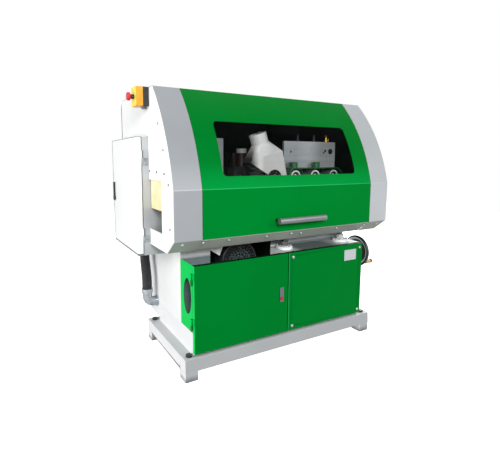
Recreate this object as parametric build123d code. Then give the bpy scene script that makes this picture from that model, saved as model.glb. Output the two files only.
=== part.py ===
from build123d import *
from math import cos, pi, radians, sin, sqrt
import os

# Round stick making machine: a square blank goes in at the left end, a driven spiked roller feeds it
# between an upper and a lower half-round cutter, and three driven rollers pull the round stick out
# at the right end. All sizes are in millimetres. X runs along the stick, minus Y is the front and Z is up.

# Sheet metal and fits
SHEET = 3.0
THIN_SHEET = 2.0
DOOR_GAP = 1.5
RUN_FIT = 0.05
SEAT_GAP = 0.3

# Hood, measured on its end profile
HOOD_HALF = 560.0
STRIP_WIDTH = 115.0
COVER_HALF = HOOD_HALF - STRIP_WIDTH
ROOF_Z = 1153.0
ROOF_FRONT_Y = -62.0
HOOD_BACK_Y = 412.0
BACK_BEND_R = 40.0
KNEE_Y = -269.0
KNEE_Z = 757.0
COVER_BULGE = 31.0
FRONT_BOTTOM_Z = 572.0
LIP_Y = -202.0
LIP_Z = 519.0
LIP_FLANGE = 18.0
HINGE_Y = -22.0
HINGE_R = 4.0
HINGE_PIN_R = 2.0
HINGE_KNUCKLE = 30.0
HINGE_LEAF = 26.0
HINGE_LEAF_T = 2.0
COVER_HINGE_INSET = 115.0

# Window in the cover
WINDOW_HALF = 350.0
WINDOW_LOW_Z = 806.0
WINDOW_HIGH_Z = 1020.0
WINDOW_R = 18.0
PANE_T = 3.0
PANE_LAP = 14.0

# Handle of the cover
HANDLE_MID_X = 6.0
HANDLE_LENGTH = 247.0
HANDLE_R = 12.5
HANDLE_Z = 621.0
HANDLE_STANDOFF = 34.0
HANDLE_POST_R = 8.0
HANDLE_POST_INSET = 13.0

# Base frame
BASE_INSET = 53.0
BASE_HALF_X = HOOD_HALF - BASE_INSET
BASE_HALF_Y = 235.0
RAIL = 55.0
RAIL_WALL = 4.0
RAIL_TOP = 93.0
RAIL_BOTTOM = 39.0
BOLT_R = 8.0
BOLT_HEAD_AF = 24.0
BOLT_HEAD_H = 9.0

# Column and front cabinet
COLUMN_INSET_LEFT = 98.0
COLUMN_INSET_RIGHT = 110.0
COLUMN_LEFT = -HOOD_HALF + COLUMN_INSET_LEFT
COLUMN_RIGHT = HOOD_HALF - COLUMN_INSET_RIGHT
COLUMN_FRONT = -88.0
COLUMN_BACK = 191.0
COLUMN_TOP = 540.0
PILLAR_WIDTH = 139.0
PLINTH_TOP = 186.0
CABINET_FRONT = -228.0
DOOR_DEPTH = 18.0
DOOR_LOW_Z = 104.0
DOOR_HIGH_Z = 463.0
DIVIDER_X = -6.0
GUARD_BACK_Y = 320.0
GUARD_LOW_Z = 112.0
SIDE_HOLE_Y = -158.0
SIDE_HOLE_Z = 324.0
SIDE_HOLE_HALF_Y = 38.0
SIDE_HOLE_HALF_Z = 74.0
PANEL_BOLT_INSET = 21.0
PANEL_BOLT_R = 7.0
PANEL_BOLT_H = 7.0
PANEL_SHANK_R = 4.0
DOOR_HINGE_R = 5.0
DOOR_PIN_R = 2.5
DOOR_KNUCKLE = 24.0
DOOR_HINGE_TOP_INSET = 58.0
DOOR_HINGE_LOW_INSET = 118.0
LATCH_INSET = 38.0
LATCH_X = DIVIDER_X - LATCH_INSET
LATCH_Z = 281.0
LATCH_WIDTH = 21.0
LATCH_HEIGHT = 65.0
LATCH_PROUD = 5.0
LATCH_FLOOR = 1.0
LATCH_BUTTON = 14.0
LATCH_TRAVEL = 3.0

# Bed plate on the column
BED_T = 20.0
BED_FRONT = -95.0
BED_BACK = 405.0
BELT_SLOT = 170.0

# Triangular chip deflector on the bed's front edge
DEFLECTOR_INSET = 31.0
DEFLECTOR_LENGTH = 190.0
DEFLECTOR_TIP = 149.0
DEFLECTOR_HEIGHT = 84.0
DEFLECTOR_SEAT = 8.0

# Electrical cabinet on the left end
ELEC_PROUD = 52.0
ELEC_FRONT_X = -HOOD_HALF - ELEC_PROUD
ELEC_DOOR_T = 24.0
ELEC_LOW_Y = -2.0
ELEC_HIGH_Y = 404.0
ELEC_LOW_Z = 472.0
ELEC_HIGH_Z = 961.0
ELEC_CLEAR = 2.0
ELEC_HINGE_INSET = 85.0
ELEC_KNUCKLE = 30.0
LOCK_Y = 372.0
LOCK_Z = 686.0
LOCK_R = 12.0
LOCK_LEVER = 76.0
LOCK_PROUD = 8.0
GEAR_PLATE_T = 10.0
GEAR_PLATE_MARGIN = 20.0
GEAR_PLATE_LOW = 40.0

# Devices on the mounting plate, from the cabinet's lower front corner: Y, Z, width, height, depth
SWITCHGEAR = [
    (42.0, 288.0, 90.0, 130.0, 75.0),
    (162.0, 318.0, 55.0, 85.0, 70.0),
    (237.0, 318.0, 55.0, 85.0, 70.0),
    (312.0, 318.0, 55.0, 85.0, 70.0),
    (62.0, 168.0, 120.0, 60.0, 60.0),
    (212.0, 168.0, 140.0, 60.0, 60.0),
    (42.0, 88.0, 325.0, 35.0, 40.0),
]

# Infeed opening and flap
INFEED_LOW_Y = -150.0
INFEED_LOW_Z = 586.0
INFEED_HIGH_Z = 789.0
FLAP_LOW_Z = 671.0
FLAP_T = 3.0
FLAP_PIN_R = 2.0
FLAP_KNUCKLE_R = 5.0
FLAP_SIDE_GAP = 6.0
OUTFEED_HALF_Y = 60.0
OUTFEED_HALF_Z = 40.0

# Emergency stop on the left end
STOP_LOW_Y = -30.0
STOP_WIDTH = 68.0
STOP_HEIGHT = 74.0
STOP_BASE = 24.5
STOP_COVER = 27.5
STOP_STEM_R = 9.0
STOP_HEAD_R = 16.0
STOP_HEAD = 12.0
STOP_STEM = 16.0
STOP_TRAVEL = 5.0

# Conduit between the cabinet and the belt guard
CONDUIT_R = 23.0
CONDUIT_OUT = 50.0
CONDUIT_X = COLUMN_LEFT - CONDUIT_OUT
CONDUIT_BESIDE = 27.0
CONDUIT_LEAN = 24.0
CONDUIT_Y = COLUMN_BACK + CONDUIT_BESIDE
CONDUIT_TOP_Y = CONDUIT_Y + CONDUIT_LEAN
CONDUIT_LOW_Z = 185.0
CONDUIT_STRAIGHT_TOP = 60.0
CONDUIT_STRAIGHT_LOW = 50.0
CONDUIT_BEND_R = 150.0
CONDUIT_NUT_R = 27.0
CONDUIT_NUT = 18.0
ELBOW_R = 30.0

# Stick line, cutters and spindles
STICK_Y = -75.0
STICK_Z = 750.0
STICK_R = 14.0
BLANK_HALF = 15.0
SPINDLE_X = 0.0
SPINDLE_OFFSET = 47.0
SPINDLE_R = 18.0
CUTTER_GAP = 1.0
CUTTER_HALF_WIDTH = 25.0
SPINDLE_NOSE = 8.0
SPINDLE_FRONT = -30.0
SPINDLE_BACK = 150.0
SPINDLE_WALL = 42.0
GEAR_TEETH = 47
GEAR_MODULE = 2.0
GEAR_WIDTH = 20.0
GEAR_GAP = 5.0
GEAR_PHASE = 0.25
TOOTH_ROOT_SHARE = 0.30
TOOTH_TIP_SHARE = 0.15
TOOTH_DEPTH = 1.25
TOOTH_HEIGHT = 0.85
KNIFE_COUNT = 4
KNIFE_SLOT = 12.0
KNIFE_DEPTH = 3.0

# Main motor, belts and pulleys
MOTOR_X = -158.0
MOTOR_Z = 408.0
MOTOR_R = 76.0
MOTOR_FIN = 8.0
FIN_COUNT = 28
FIN_T = 3.0
FAN_COVER_R = 95.0
FAN_FACE_Y = -60.0
FAN_COVER_LENGTH = 66.0
MOTOR_BODY_LENGTH = 190.0
MOTOR_SHAFT_R = 14.0
MOTOR_FOOT = 12.0
MOTOR_HEIGHT = 100.0
FAN_HOLE_R = 4.5
FAN_RINGS = 5
FAN_RING_PITCH = 15.0
FAN_RING_HOLES = 6
FAN_BLADES = 8
PULLEY_FRONT_Y = 250.0
PULLEY_WIDTH = 36.0
MOTOR_PULLEY_R = 62.0
SPINDLE_PULLEY_R = 40.0
BELT_T = 9.0
BELT_WIDTH = 30.0
BELT_GAP = 0.3

# Feed rollers
ROLLER_R = 28.0
ROLLER_FIRST_X = 117.0
ROLLER_PITCH = 119.5
ROLLER_COUNT = 3
ROLLER_FRONT = -112.0
ROLLER_LENGTH = 72.0
ROLLER_SHAFT_R = 10.0
ROLLER_RECESS_R = 21.0
ROLLER_RECESS = 8.0
SPROCKET_R = 26.0
SPROCKET_T = 8.0
INFEED_X = -105.0
INFEED_R = 30.0
SPIKE_COUNT = 26
SPIKE_DEPTH = 4.0

# Outfeed frame and plate
FRAME_FRONT = -36.0
FRAME_BACK = 100.0
FRAME_ABOVE = 82.0
FRAME_TOP = STICK_Z + FRAME_ABOVE
FRAME_WALL = 30.0
FRAME_FOOT = 60.0
RIM_T = 5.0
RIM_SLOPE_X = 30.0
RIM_SLOPE_Z = 24.0
FRAME_END_LEFT = 39.0
FRAME_END_RIGHT = 60.0
FRAME_LEFT = ROLLER_FIRST_X - FRAME_END_LEFT
FRAME_RIGHT = ROLLER_FIRST_X + (ROLLER_COUNT - 1) * ROLLER_PITCH + FRAME_END_RIGHT
PLATE_LEFT = FRAME_LEFT + 2 * SHEET
PLATE_FRONT = -60.0
PLATE_T = 12.0
PLATE_HEIGHT = 126.0
PLATE_TOP = FRAME_TOP + PLATE_HEIGHT
BOSS_R = 18.0
BOSS_HEIGHT = 26.0
BOSS_TOP = FRAME_TOP + BOSS_HEIGHT
BOSS_FIRST = 7.0
BOSS_PITCH = 138.0
BOSS_COUNT = 2

# Lift table, screws, cross shaft and handwheel
TABLE_LOW_Z = 577.0
TABLE_T = 15.0
TABLE_LEFT = -35.0
TABLE_INSET = 18.0
TABLE_RIGHT = COLUMN_RIGHT - TABLE_INSET
TABLE_FRONT = -188.0
TABLE_BACK = 60.0
NUT_R = 22.0
NUT_LENGTH = 32.0
GUIDE_HALF = 20.0
GUIDE_WEB = 12.0
GUIDE_HEAD = 40.0
GUIDE_LIP = 5.0
POST_R = 12.0
POST_LENGTH = 90.0
POST_INSET_X = 40.0
POST_Y = 30.0
SCREW_INSET_LEFT = 39.0
SCREW_INSET_RIGHT = 65.0
SCREW_LEFT_X = DIVIDER_X + SCREW_INSET_LEFT
SCREW_RIGHT_X = COLUMN_RIGHT - SCREW_INSET_RIGHT
SCREW_Y = -142.0
SCREW_R = 10.0
SCREW_TOP_Z = 604.0
FLANGE_R = 38.0
FLANGE_T = 12.0
FLANGE_HUB_R = 18.0
FLANGE_HUB = 22.0
FLANGE_BOLT_R = 5.0
FLANGE_BOLT_PCD = 58.0
FLANGE_BOLT_COUNT = 4
FLANGE_BOLT_H = 7.0
SHAFT_Z = 398.0
SHAFT_R = 8.0
BUSH_R = 18.0
BUSH_LENGTH = 18.0
MITRE_TEETH = 16
MITRE_MODULE = 2.0
MITRE_SHARE = 0.62
MITRE_HUB = 8.0
WHEEL_OUT = 55.0
WHEEL_X = COLUMN_RIGHT + WHEEL_OUT
WHEEL_RIM_R = 72.0
WHEEL_RIM_TUBE_R = 9.0
WHEEL_HUB_R = 17.0
WHEEL_HUB = 40.0
WHEEL_WEB = 8.0
GRIP_ANGLE = 222.0
GRIP_R = 11.0
GRIP_LENGTH = 44.0
GRIP_PIN_R = 4.0

# Dust chute over the cutters
CHUTE_FRONT = -105.0
CHUTE_BACK = SPINDLE_FRONT
CHUTE_WALL = 3.0
CHUTE_ABOVE = 25.0
CHUTE_LOW_Z = STICK_Z + CHUTE_ABOVE
CHUTE_RIGHT_X = 74.0
CHUTE_SHOULDER_X = 42.0
CHUTE_HEIGHT_RIGHT = 134.0
CHUTE_SHOULDER_Z = CHUTE_LOW_Z + CHUTE_HEIGHT_RIGHT
CHUTE_LEFT_X = -128.0
CHUTE_HEIGHT_LEFT = 79.0
CHUTE_LEFT_Z = CHUTE_LOW_Z + CHUTE_HEIGHT_LEFT
CHUTE_NOTCH_CLEAR = 9.0
CHUTE_FOOT_X = 13.0
CHUTE_CUT_R = 40.0
CHUTE_CUT_DROP = 12.0
CHUTE_BACK_HOLE_R = 27.0
CHUTE_CUTTER_CLEAR = 4.0
THROAT_INSET = 5.0
DUST_R = 40.0
DUST_LENGTH = 44.0
DUST_NECK_X = -59.0
DUST_NECK_HEIGHT = 169.0
DUST_NECK_Z = CHUTE_LOW_Z + DUST_NECK_HEIGHT
DUST_TILT = 19.0

# Infeed guard and pressure unit
TUNNEL_INSET = 37.0
TUNNEL_LENGTH = 150.0
TUNNEL_LEFT = COLUMN_LEFT + TUNNEL_INSET
TUNNEL_RIGHT = TUNNEL_LEFT + TUNNEL_LENGTH
TUNNEL_FRONT = -118.0
TUNNEL_BACK = -30.0
TUNNEL_ABOVE = 207.0
TUNNEL_TOP = STICK_Z + TUNNEL_ABOVE
UNIT_LEFT = -166.0
UNIT_RIGHT = -96.0
UNIT_ABOVE = 170.0
UNIT_TOP = STICK_Z + UNIT_ABOVE
UNIT_CAP = 20.0
UNIT_CAP_R = 24.0
UNIT_FRONT = -26.0
UNIT_BACK = 34.0
UNIT_BLOCK_ABOVE = 88.0
UNIT_BLOCK_TOP = STICK_Z + UNIT_BLOCK_ABOVE
UNIT_BARREL_R = 28.0
UNIT_BARREL_INSET = 17.0
UNIT_BAR = 14.0
UNIT_BAR_INSET = 3.0

# Feed gear motor
GEARBOX_X = 240.0
GEARBOX_Y = 215.0
GEARBOX_HALF = 55.0
GEARBOX_H = 150.0
FEED_MOTOR_R = 60.0
FEED_MOTOR_LENGTH = 190.0

# The origin lies on the floor under the middle of the whole machine's box
BOX_LEFT = -HOOD_HALF - STOP_BASE - STOP_COVER - STOP_STEM - STOP_HEAD
BOX_FRONT = KNEE_Y - HANDLE_STANDOFF - HANDLE_R
ORIGIN_X = (BOX_LEFT + HOOD_HALF) / 2
ORIGIN_Y = (BOX_FRONT + HOOD_BACK_Y) / 2

nodes = {}


def block(x0, x1, y0, y1, z0, z1):
    return Pos((x0 + x1) / 2, (y0 + y1) / 2, (z0 + z1) / 2) * Box(x1 - x0, y1 - y0, z1 - z0)


def hollow(x0, x1, y0, y1, z0, z1, wall):
    inside = block(x0 + wall, x1 - wall, y0 + wall, y1 - wall, z0 + wall, z1 - wall)
    return block(x0, x1, y0, y1, z0, z1) - inside


def rod_x(x0, x1, y, z, r):
    return Pos((x0 + x1) / 2, y, z) * Rot(0, 90, 0) * Cylinder(r, x1 - x0)


def rod_y(y0, y1, x, z, r):
    return Pos(x, (y0 + y1) / 2, z) * Rot(90, 0, 0) * Cylinder(r, y1 - y0)


def rod_z(z0, z1, x, y, r):
    return Pos(x, y, (z0 + z1) / 2) * Cylinder(r, z1 - z0)


def hex_z(z0, z1, x, y, across_flats):
    outline = RegularPolygon(across_flats / 2, 6, major_radius=False)
    return extrude(Plane.XY.offset(z0) * Pos(x, y) * outline, z1 - z0)


def plate_yz(edges, x0, x1):
    return extrude(Plane.YZ.offset(x0) * make_face(edges), x1 - x0)


def plate_xz(face, y0, y1):
    return extrude(Plane.XZ.offset(-y1) * face, y1 - y0)


def keep(name, *solids):
    nodes[name] = list(solids)


# Hood profile: one arc from the roof edge to the knee, a straight front and a lip that turns in
CHORD_Y = KNEE_Y - ROOF_FRONT_Y
CHORD_Z = KNEE_Z - ROOF_Z
CHORD = sqrt(CHORD_Y**2 + CHORD_Z**2)
ARC_R = (CHORD**2 / 4 + COVER_BULGE**2) / (2 * COVER_BULGE)
ARC_Y = (KNEE_Y + ROOF_FRONT_Y) / 2 - (ARC_R - COVER_BULGE) * CHORD_Z / CHORD
ARC_Z = (KNEE_Z + ROOF_Z) / 2 + (ARC_R - COVER_BULGE) * CHORD_Y / CHORD
LIP_RUN = sqrt((LIP_Y - KNEE_Y) ** 2 + (LIP_Z - FRONT_BOTTOM_Z) ** 2)
LIP_DY = (LIP_Y - KNEE_Y) / LIP_RUN
LIP_DZ = (LIP_Z - FRONT_BOTTOM_Z) / LIP_RUN


def arc_point(z, inset):
    return (ARC_Y - sqrt((ARC_R - inset) ** 2 - (z - ARC_Z) ** 2), z)


def knee_point(inset):
    y = KNEE_Y + inset
    return (y, ARC_Z + sqrt((ARC_R - inset) ** 2 - (y - ARC_Y) ** 2))


def arc_between(z0, z1, inset):
    return ThreePointArc(arc_point(z0, inset), arc_point((z0 + z1) / 2, inset), arc_point(z1, inset))


def lip_corner(inset):
    step = inset * (1 + LIP_DZ) / LIP_DY
    return (KNEE_Y + inset, FRONT_BOTTOM_Z + inset * LIP_DY + step * LIP_DZ)


def lip_end(inset):
    return (LIP_Y - inset * LIP_DZ, LIP_Z + inset * LIP_DY)


def front_sheet(x0, x1, back_y, with_lip, wall):
    """Curved front sheet of the hood between two X planes."""
    outer_knee = knee_point(0)
    inner_knee = knee_point(wall)
    inner_top = arc_point(ROOF_Z - wall, wall)
    if with_lip:
        low_outer = [(KNEE_Y, FRONT_BOTTOM_Z), (LIP_Y, LIP_Z)]
        low_inner = [lip_end(wall), lip_corner(wall)]
    else:
        low_outer = [(KNEE_Y, FRONT_BOTTOM_Z)]
        low_inner = [(KNEE_Y + wall, FRONT_BOTTOM_Z)]
    edges = [
        Line((back_y, ROOF_Z), arc_point(ROOF_Z, 0)),
        arc_between(ROOF_Z, outer_knee[1], 0),
        Polyline(outer_knee, *low_outer, *low_inner, inner_knee),
        arc_between(inner_knee[1], ROOF_Z - wall, wall),
        Polyline(inner_top, (back_y, ROOF_Z - wall), (back_y, ROOF_Z)),
    ]
    return plate_yz(edges, x0, x1)


def back_bend(inset):
    """Rounded fold between the back and the roof."""
    radius = BACK_BEND_R - inset
    y = HOOD_BACK_Y - BACK_BEND_R
    z = ROOF_Z - BACK_BEND_R
    middle = (y + radius * cos(pi / 4), z + radius * sin(pi / 4))
    return ThreePointArc((y + radius, z), middle, (y, z + radius))


def end_panel(x0, x1, lower):
    """End panel of the hood. lower lists the points from the lip along the bottom to the back."""
    edges = [
        arc_between(ROOF_Z, KNEE_Z, 0),
        Polyline((KNEE_Y, KNEE_Z), (KNEE_Y, FRONT_BOTTOM_Z), (LIP_Y, LIP_Z), *lower),
        Line(lower[-1], (HOOD_BACK_Y, ROOF_Z - BACK_BEND_R)),
        back_bend(0),
        Line((HOOD_BACK_Y - BACK_BEND_R, ROOF_Z), (ROOF_FRONT_Y, ROOF_Z)),
    ]
    return plate_yz(edges, x0, x1)


def base_frame():
    """Welded rails of square tube with a foot of the same tube under each corner."""
    rails = []
    for side in (-1, 1):
        y0, y1 = sorted((side * BASE_HALF_Y, side * (BASE_HALF_Y - RAIL)))
        tube = block(-BASE_HALF_X, BASE_HALF_X, y0, y1, RAIL_BOTTOM, RAIL_TOP)
        tube -= block(-BASE_HALF_X + RAIL_WALL, BASE_HALF_X - RAIL_WALL, y0 + RAIL_WALL, y1 - RAIL_WALL,
                      RAIL_BOTTOM + RAIL_WALL, RAIL_TOP - RAIL_WALL)
        for x in (-1, 1):
            tube -= rod_z(0, RAIL_TOP, x * (BASE_HALF_X - RAIL / 2), (y0 + y1) / 2, BOLT_R + RUN_FIT)
        rails.append(tube)
        x0, x1 = sorted((side * BASE_HALF_X, side * (BASE_HALF_X - RAIL)))
        inner_y = BASE_HALF_Y - RAIL
        rails.append(hollow(x0, x1, -inner_y, inner_y, RAIL_BOTTOM, RAIL_TOP, RAIL_WALL))
        for end in (-1, 1):
            f0, f1 = sorted((end * BASE_HALF_X, end * (BASE_HALF_X - RAIL)))
            foot = block(f0, f1, y0, y1, 0, RAIL_BOTTOM)
            foot -= block(f0 + RAIL_WALL, f1 - RAIL_WALL, y0 + RAIL_WALL, y1 - RAIL_WALL, 0, RAIL_BOTTOM)
            rails.append(foot)
    keep("base_frame", *rails)


def levelling_bolts():
    """Hex bolts that pass down through the corners of the base frame to the floor."""
    bolts = []
    for sx in (-1, 1):
        for sy in (-1, 1):
            x = sx * (BASE_HALF_X - RAIL / 2)
            y = sy * (BASE_HALF_Y - RAIL / 2)
            shank = rod_z(SEAT_GAP, RAIL_TOP, x, y, BOLT_R)
            bolts.append(shank + hex_z(RAIL_TOP, RAIL_TOP + BOLT_HEAD_H, x, y, BOLT_HEAD_AF))
    keep("levelling_bolts", *bolts)


CABINET_BACK = CABINET_FRONT + DOOR_DEPTH + DOOR_GAP
PEDESTAL_TOP = MOTOR_Z - MOTOR_HEIGHT


def column():
    """Plinth with the motor pedestal, left pillar, right column and the wall between the front bays."""
    plinth = hollow(COLUMN_LEFT, COLUMN_RIGHT, CABINET_BACK, COLUMN_BACK, RAIL_TOP, PLINTH_TOP, SHEET)
    pedestal_half = FAN_COVER_R
    plinth += hollow(MOTOR_X - pedestal_half, MOTOR_X + pedestal_half, FAN_FACE_Y + FAN_COVER_LENGTH,
                     COLUMN_BACK, PLINTH_TOP, PEDESTAL_TOP, SHEET)
    keep("plinth", plinth)
    keep("left_pillar", hollow(COLUMN_LEFT, COLUMN_LEFT + PILLAR_WIDTH, COLUMN_FRONT, COLUMN_BACK,
                               PLINTH_TOP, COLUMN_TOP, SHEET))
    keep("right_column", hollow(DIVIDER_X, COLUMN_RIGHT, COLUMN_FRONT, COLUMN_BACK,
                                PLINTH_TOP, COLUMN_TOP, SHEET))
    divider = block(DIVIDER_X, DIVIDER_X + SHEET, CABINET_BACK, COLUMN_FRONT, PLINTH_TOP, DOOR_HIGH_Z - SHEET)
    divider += rod_x(DIVIDER_X - BUSH_LENGTH, DIVIDER_X, SCREW_Y, SHAFT_Z, BUSH_R)
    divider -= rod_x(DIVIDER_X - BUSH_LENGTH, DIVIDER_X + SHEET, SCREW_Y, SHAFT_Z, SHAFT_R + RUN_FIT)
    keep("bay_divider", divider)


def rear_belt_guard():
    """Sheet box behind the column, open to the motor bay and up through the bed."""
    guard = block(COLUMN_LEFT, COLUMN_RIGHT, COLUMN_BACK, GUARD_BACK_Y, GUARD_LOW_Z, COLUMN_TOP)
    guard -= block(COLUMN_LEFT + THIN_SHEET, COLUMN_RIGHT - THIN_SHEET, COLUMN_BACK,
                   GUARD_BACK_Y - THIN_SHEET, GUARD_LOW_Z + THIN_SHEET, COLUMN_TOP)
    guard -= rod_x(COLUMN_LEFT, COLUMN_LEFT + THIN_SHEET, CONDUIT_Y, CONDUIT_LOW_Z, CONDUIT_R + RUN_FIT)
    keep("rear_belt_guard", guard)


BED_TOP = COLUMN_TOP + BED_T
RAIL_LEFT = SPINDLE_X + SPINDLE_R + SPINDLE_WALL + 2 * THIN_SHEET
POST_LEFT_X = RAIL_LEFT + POST_INSET_X
POST_RIGHT_X = TABLE_RIGHT - POST_INSET_X


def bed_plate():
    """Thick bed on the column, with a tongue to the infeed, a slot for the belts and a chip deflector."""
    right = HOOD_HALF - SHEET
    bed = block(COLUMN_LEFT + ELEC_CLEAR, right, BED_FRONT, BED_BACK, COLUMN_TOP, BED_TOP)
    bed += block(-right, COLUMN_LEFT + ELEC_CLEAR, BED_FRONT, ELEC_LOW_Y - ELEC_CLEAR, COLUMN_TOP, BED_TOP)
    slot_x = (MOTOR_X + SPINDLE_X) / 2
    bed -= block(slot_x - BELT_SLOT / 2, slot_x + BELT_SLOT / 2, PULLEY_FRONT_Y - DOOR_DEPTH,
                 PULLEY_FRONT_Y + PULLEY_WIDTH + DOOR_DEPTH, COLUMN_TOP, BED_TOP)
    left = COLUMN_LEFT + DEFLECTOR_INSET
    seat_z = COLUMN_TOP + DEFLECTOR_SEAT
    outline = Polyline((left, seat_z), (left + DEFLECTOR_LENGTH, seat_z),
                       (left + DEFLECTOR_TIP, COLUMN_TOP - DEFLECTOR_HEIGHT), close=True)
    keep("bed_plate", bed, plate_xz(make_face(outline), BED_FRONT - THIN_SHEET, BED_FRONT))
    posts = [rod_z(BED_TOP, BED_TOP + POST_LENGTH, x, POST_Y, POST_R) for x in (POST_LEFT_X, POST_RIGHT_X)]
    keep("guide_posts", *posts)


def door_pan(x0, x1, back):
    """Folded sheet pan, open at the back, as used for the door and the fixed front panel."""
    pan = block(x0, x1, CABINET_FRONT, back, DOOR_LOW_Z, DOOR_HIGH_Z)
    return pan - block(x0 + THIN_SHEET, x1 - THIN_SHEET, CABINET_FRONT + THIN_SHEET, back,
                       DOOR_LOW_Z + THIN_SHEET, DOOR_HIGH_Z - THIN_SHEET)


def bolt_places():
    left = DIVIDER_X + PANEL_BOLT_INSET + DOOR_GAP
    right = COLUMN_RIGHT - PANEL_BOLT_INSET
    low = DOOR_LOW_Z + PANEL_BOLT_INSET
    high = DOOR_HIGH_Z - PANEL_BOLT_INSET
    return [(x, z) for x in (left, right) for z in (low, high)]


def flange_bolt_places():
    places = []
    for x in (SCREW_LEFT_X, SCREW_RIGHT_X):
        for turn in range(FLANGE_BOLT_COUNT):
            angle = 2 * pi * (turn + 0.5) / FLANGE_BOLT_COUNT
            reach = FLANGE_BOLT_PCD / 2
            places.append((x + reach * cos(angle), SCREW_Y + reach * sin(angle)))
    return places


def front_cabinet():
    """Side covers, fixed right panel, steel top plate, screw flanges and their bolts."""
    left = block(COLUMN_LEFT, COLUMN_LEFT + THIN_SHEET, CABINET_BACK, COLUMN_FRONT, PLINTH_TOP, DOOR_HIGH_Z)
    ellipse = Pos(SIDE_HOLE_Y, SIDE_HOLE_Z) * Ellipse(SIDE_HOLE_HALF_Y, SIDE_HOLE_HALF_Z)
    left -= extrude(Plane.YZ.offset(COLUMN_LEFT) * ellipse, THIN_SHEET)
    right = block(COLUMN_RIGHT - THIN_SHEET, COLUMN_RIGHT, CABINET_BACK, COLUMN_FRONT,
                  PLINTH_TOP, DOOR_HIGH_Z - SHEET)
    right += rod_x(COLUMN_RIGHT - THIN_SHEET, COLUMN_RIGHT + BUSH_LENGTH, SCREW_Y, SHAFT_Z, BUSH_R)
    right -= rod_x(COLUMN_RIGHT - THIN_SHEET, COLUMN_RIGHT + BUSH_LENGTH, SCREW_Y, SHAFT_Z, SHAFT_R + RUN_FIT)
    keep("side_covers", left, right)

    panel = door_pan(DIVIDER_X + DOOR_GAP / 2, COLUMN_RIGHT, CABINET_BACK)
    bolts = []
    for x, z in bolt_places():
        panel -= rod_y(CABINET_FRONT, CABINET_FRONT + THIN_SHEET, x, z, PANEL_SHANK_R + RUN_FIT)
        head = rod_y(CABINET_FRONT - PANEL_BOLT_H, CABINET_FRONT, x, z, PANEL_BOLT_R)
        head = fillet(head.edges().sort_by(Axis.Y)[0], PANEL_BOLT_H / 2)
        bolts.append(head + rod_y(CABINET_FRONT, CABINET_BACK, x, z, PANEL_SHANK_R))
    keep("right_front_panel", panel)

    plate = block(DIVIDER_X, COLUMN_RIGHT, CABINET_BACK, COLUMN_FRONT, DOOR_HIGH_Z - SHEET, DOOR_HIGH_Z)
    flanges = []
    for x in (SCREW_LEFT_X, SCREW_RIGHT_X):
        plate -= rod_z(DOOR_HIGH_Z - SHEET, DOOR_HIGH_Z, x, SCREW_Y, SCREW_R + SHEET)
        flange = rod_z(DOOR_HIGH_Z, DOOR_HIGH_Z + FLANGE_T, x, SCREW_Y, FLANGE_R)
        flange = chamfer(flange.edges().sort_by(Axis.Z)[-1], THIN_SHEET)
        flange += rod_z(DOOR_HIGH_Z + FLANGE_T, DOOR_HIGH_Z + FLANGE_T + FLANGE_HUB, x, SCREW_Y, FLANGE_HUB_R)
        flange -= rod_z(DOOR_HIGH_Z, DOOR_HIGH_Z + FLANGE_T + FLANGE_HUB, x, SCREW_Y, SCREW_R + RUN_FIT)
        flanges.append(flange)
    for x, y in flange_bolt_places():
        top = DOOR_HIGH_Z + FLANGE_T
        bolts.append(hex_z(top, top + FLANGE_BOLT_H, x, y, 2 * FLANGE_BOLT_R))
    keep("top_plate", plate)
    keep("screw_flanges", *flanges)
    keep("front_bolts", *bolts)


DOOR_AXIS_X = COLUMN_LEFT - DOOR_HINGE_R
DOOR_AXIS_Y = CABINET_FRONT + DOOR_DEPTH + DOOR_GAP / 2
ELEC_AXIS_X = ELEC_FRONT_X + ELEC_DOOR_T + DOOR_GAP / 2
ELEC_AXIS_Y = ELEC_LOW_Y - DOOR_HINGE_R
COVER_AXIS_Z = ROOF_Z + HINGE_R
FLAP_AXIS_X = -HOOD_HALF + SHEET + FLAP_KNUCKLE_R + SEAT_GAP
FLAP_AXIS_Z = INFEED_HIGH_Z + FLAP_KNUCKLE_R


def standing_hinge(x, y, z, knuckle, leaf_fixed, leaf_moving):
    """Lift-off hinge on an upright axis: a fixed knuckle with its pin and a moving knuckle above it."""
    fixed = rod_z(z - knuckle, z, x, y, DOOR_HINGE_R)
    fixed += rod_z(z, z + knuckle - SHEET - SEAT_GAP, x, y, DOOR_PIN_R)
    fixed += leaf_fixed(z - knuckle, z)
    gap = SEAT_GAP
    moving = rod_z(z + gap, z + gap + knuckle, x, y, DOOR_HINGE_R)
    moving += leaf_moving(z + gap, z + gap + knuckle)
    moving -= rod_z(z + gap, z + gap + knuckle - SHEET, x, y, DOOR_PIN_R + RUN_FIT)
    return fixed, moving


def bay_hinge(z):
    x0 = COLUMN_LEFT - HINGE_LEAF_T
    hinge_back = DOOR_AXIS_Y + DOOR_HINGE_R
    door_back = CABINET_FRONT + DOOR_DEPTH

    def fixed_leaf(z0, z1):
        return block(x0, COLUMN_LEFT, DOOR_AXIS_Y + DOOR_GAP, hinge_back + HINGE_LEAF_T, z0, z1)

    def moving_leaf(z0, z1):
        return block(x0, COLUMN_LEFT, CABINET_FRONT + THIN_SHEET, door_back, z0, z1)

    return standing_hinge(DOOR_AXIS_X, DOOR_AXIS_Y, z, DOOR_KNUCKLE, fixed_leaf, moving_leaf)


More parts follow.
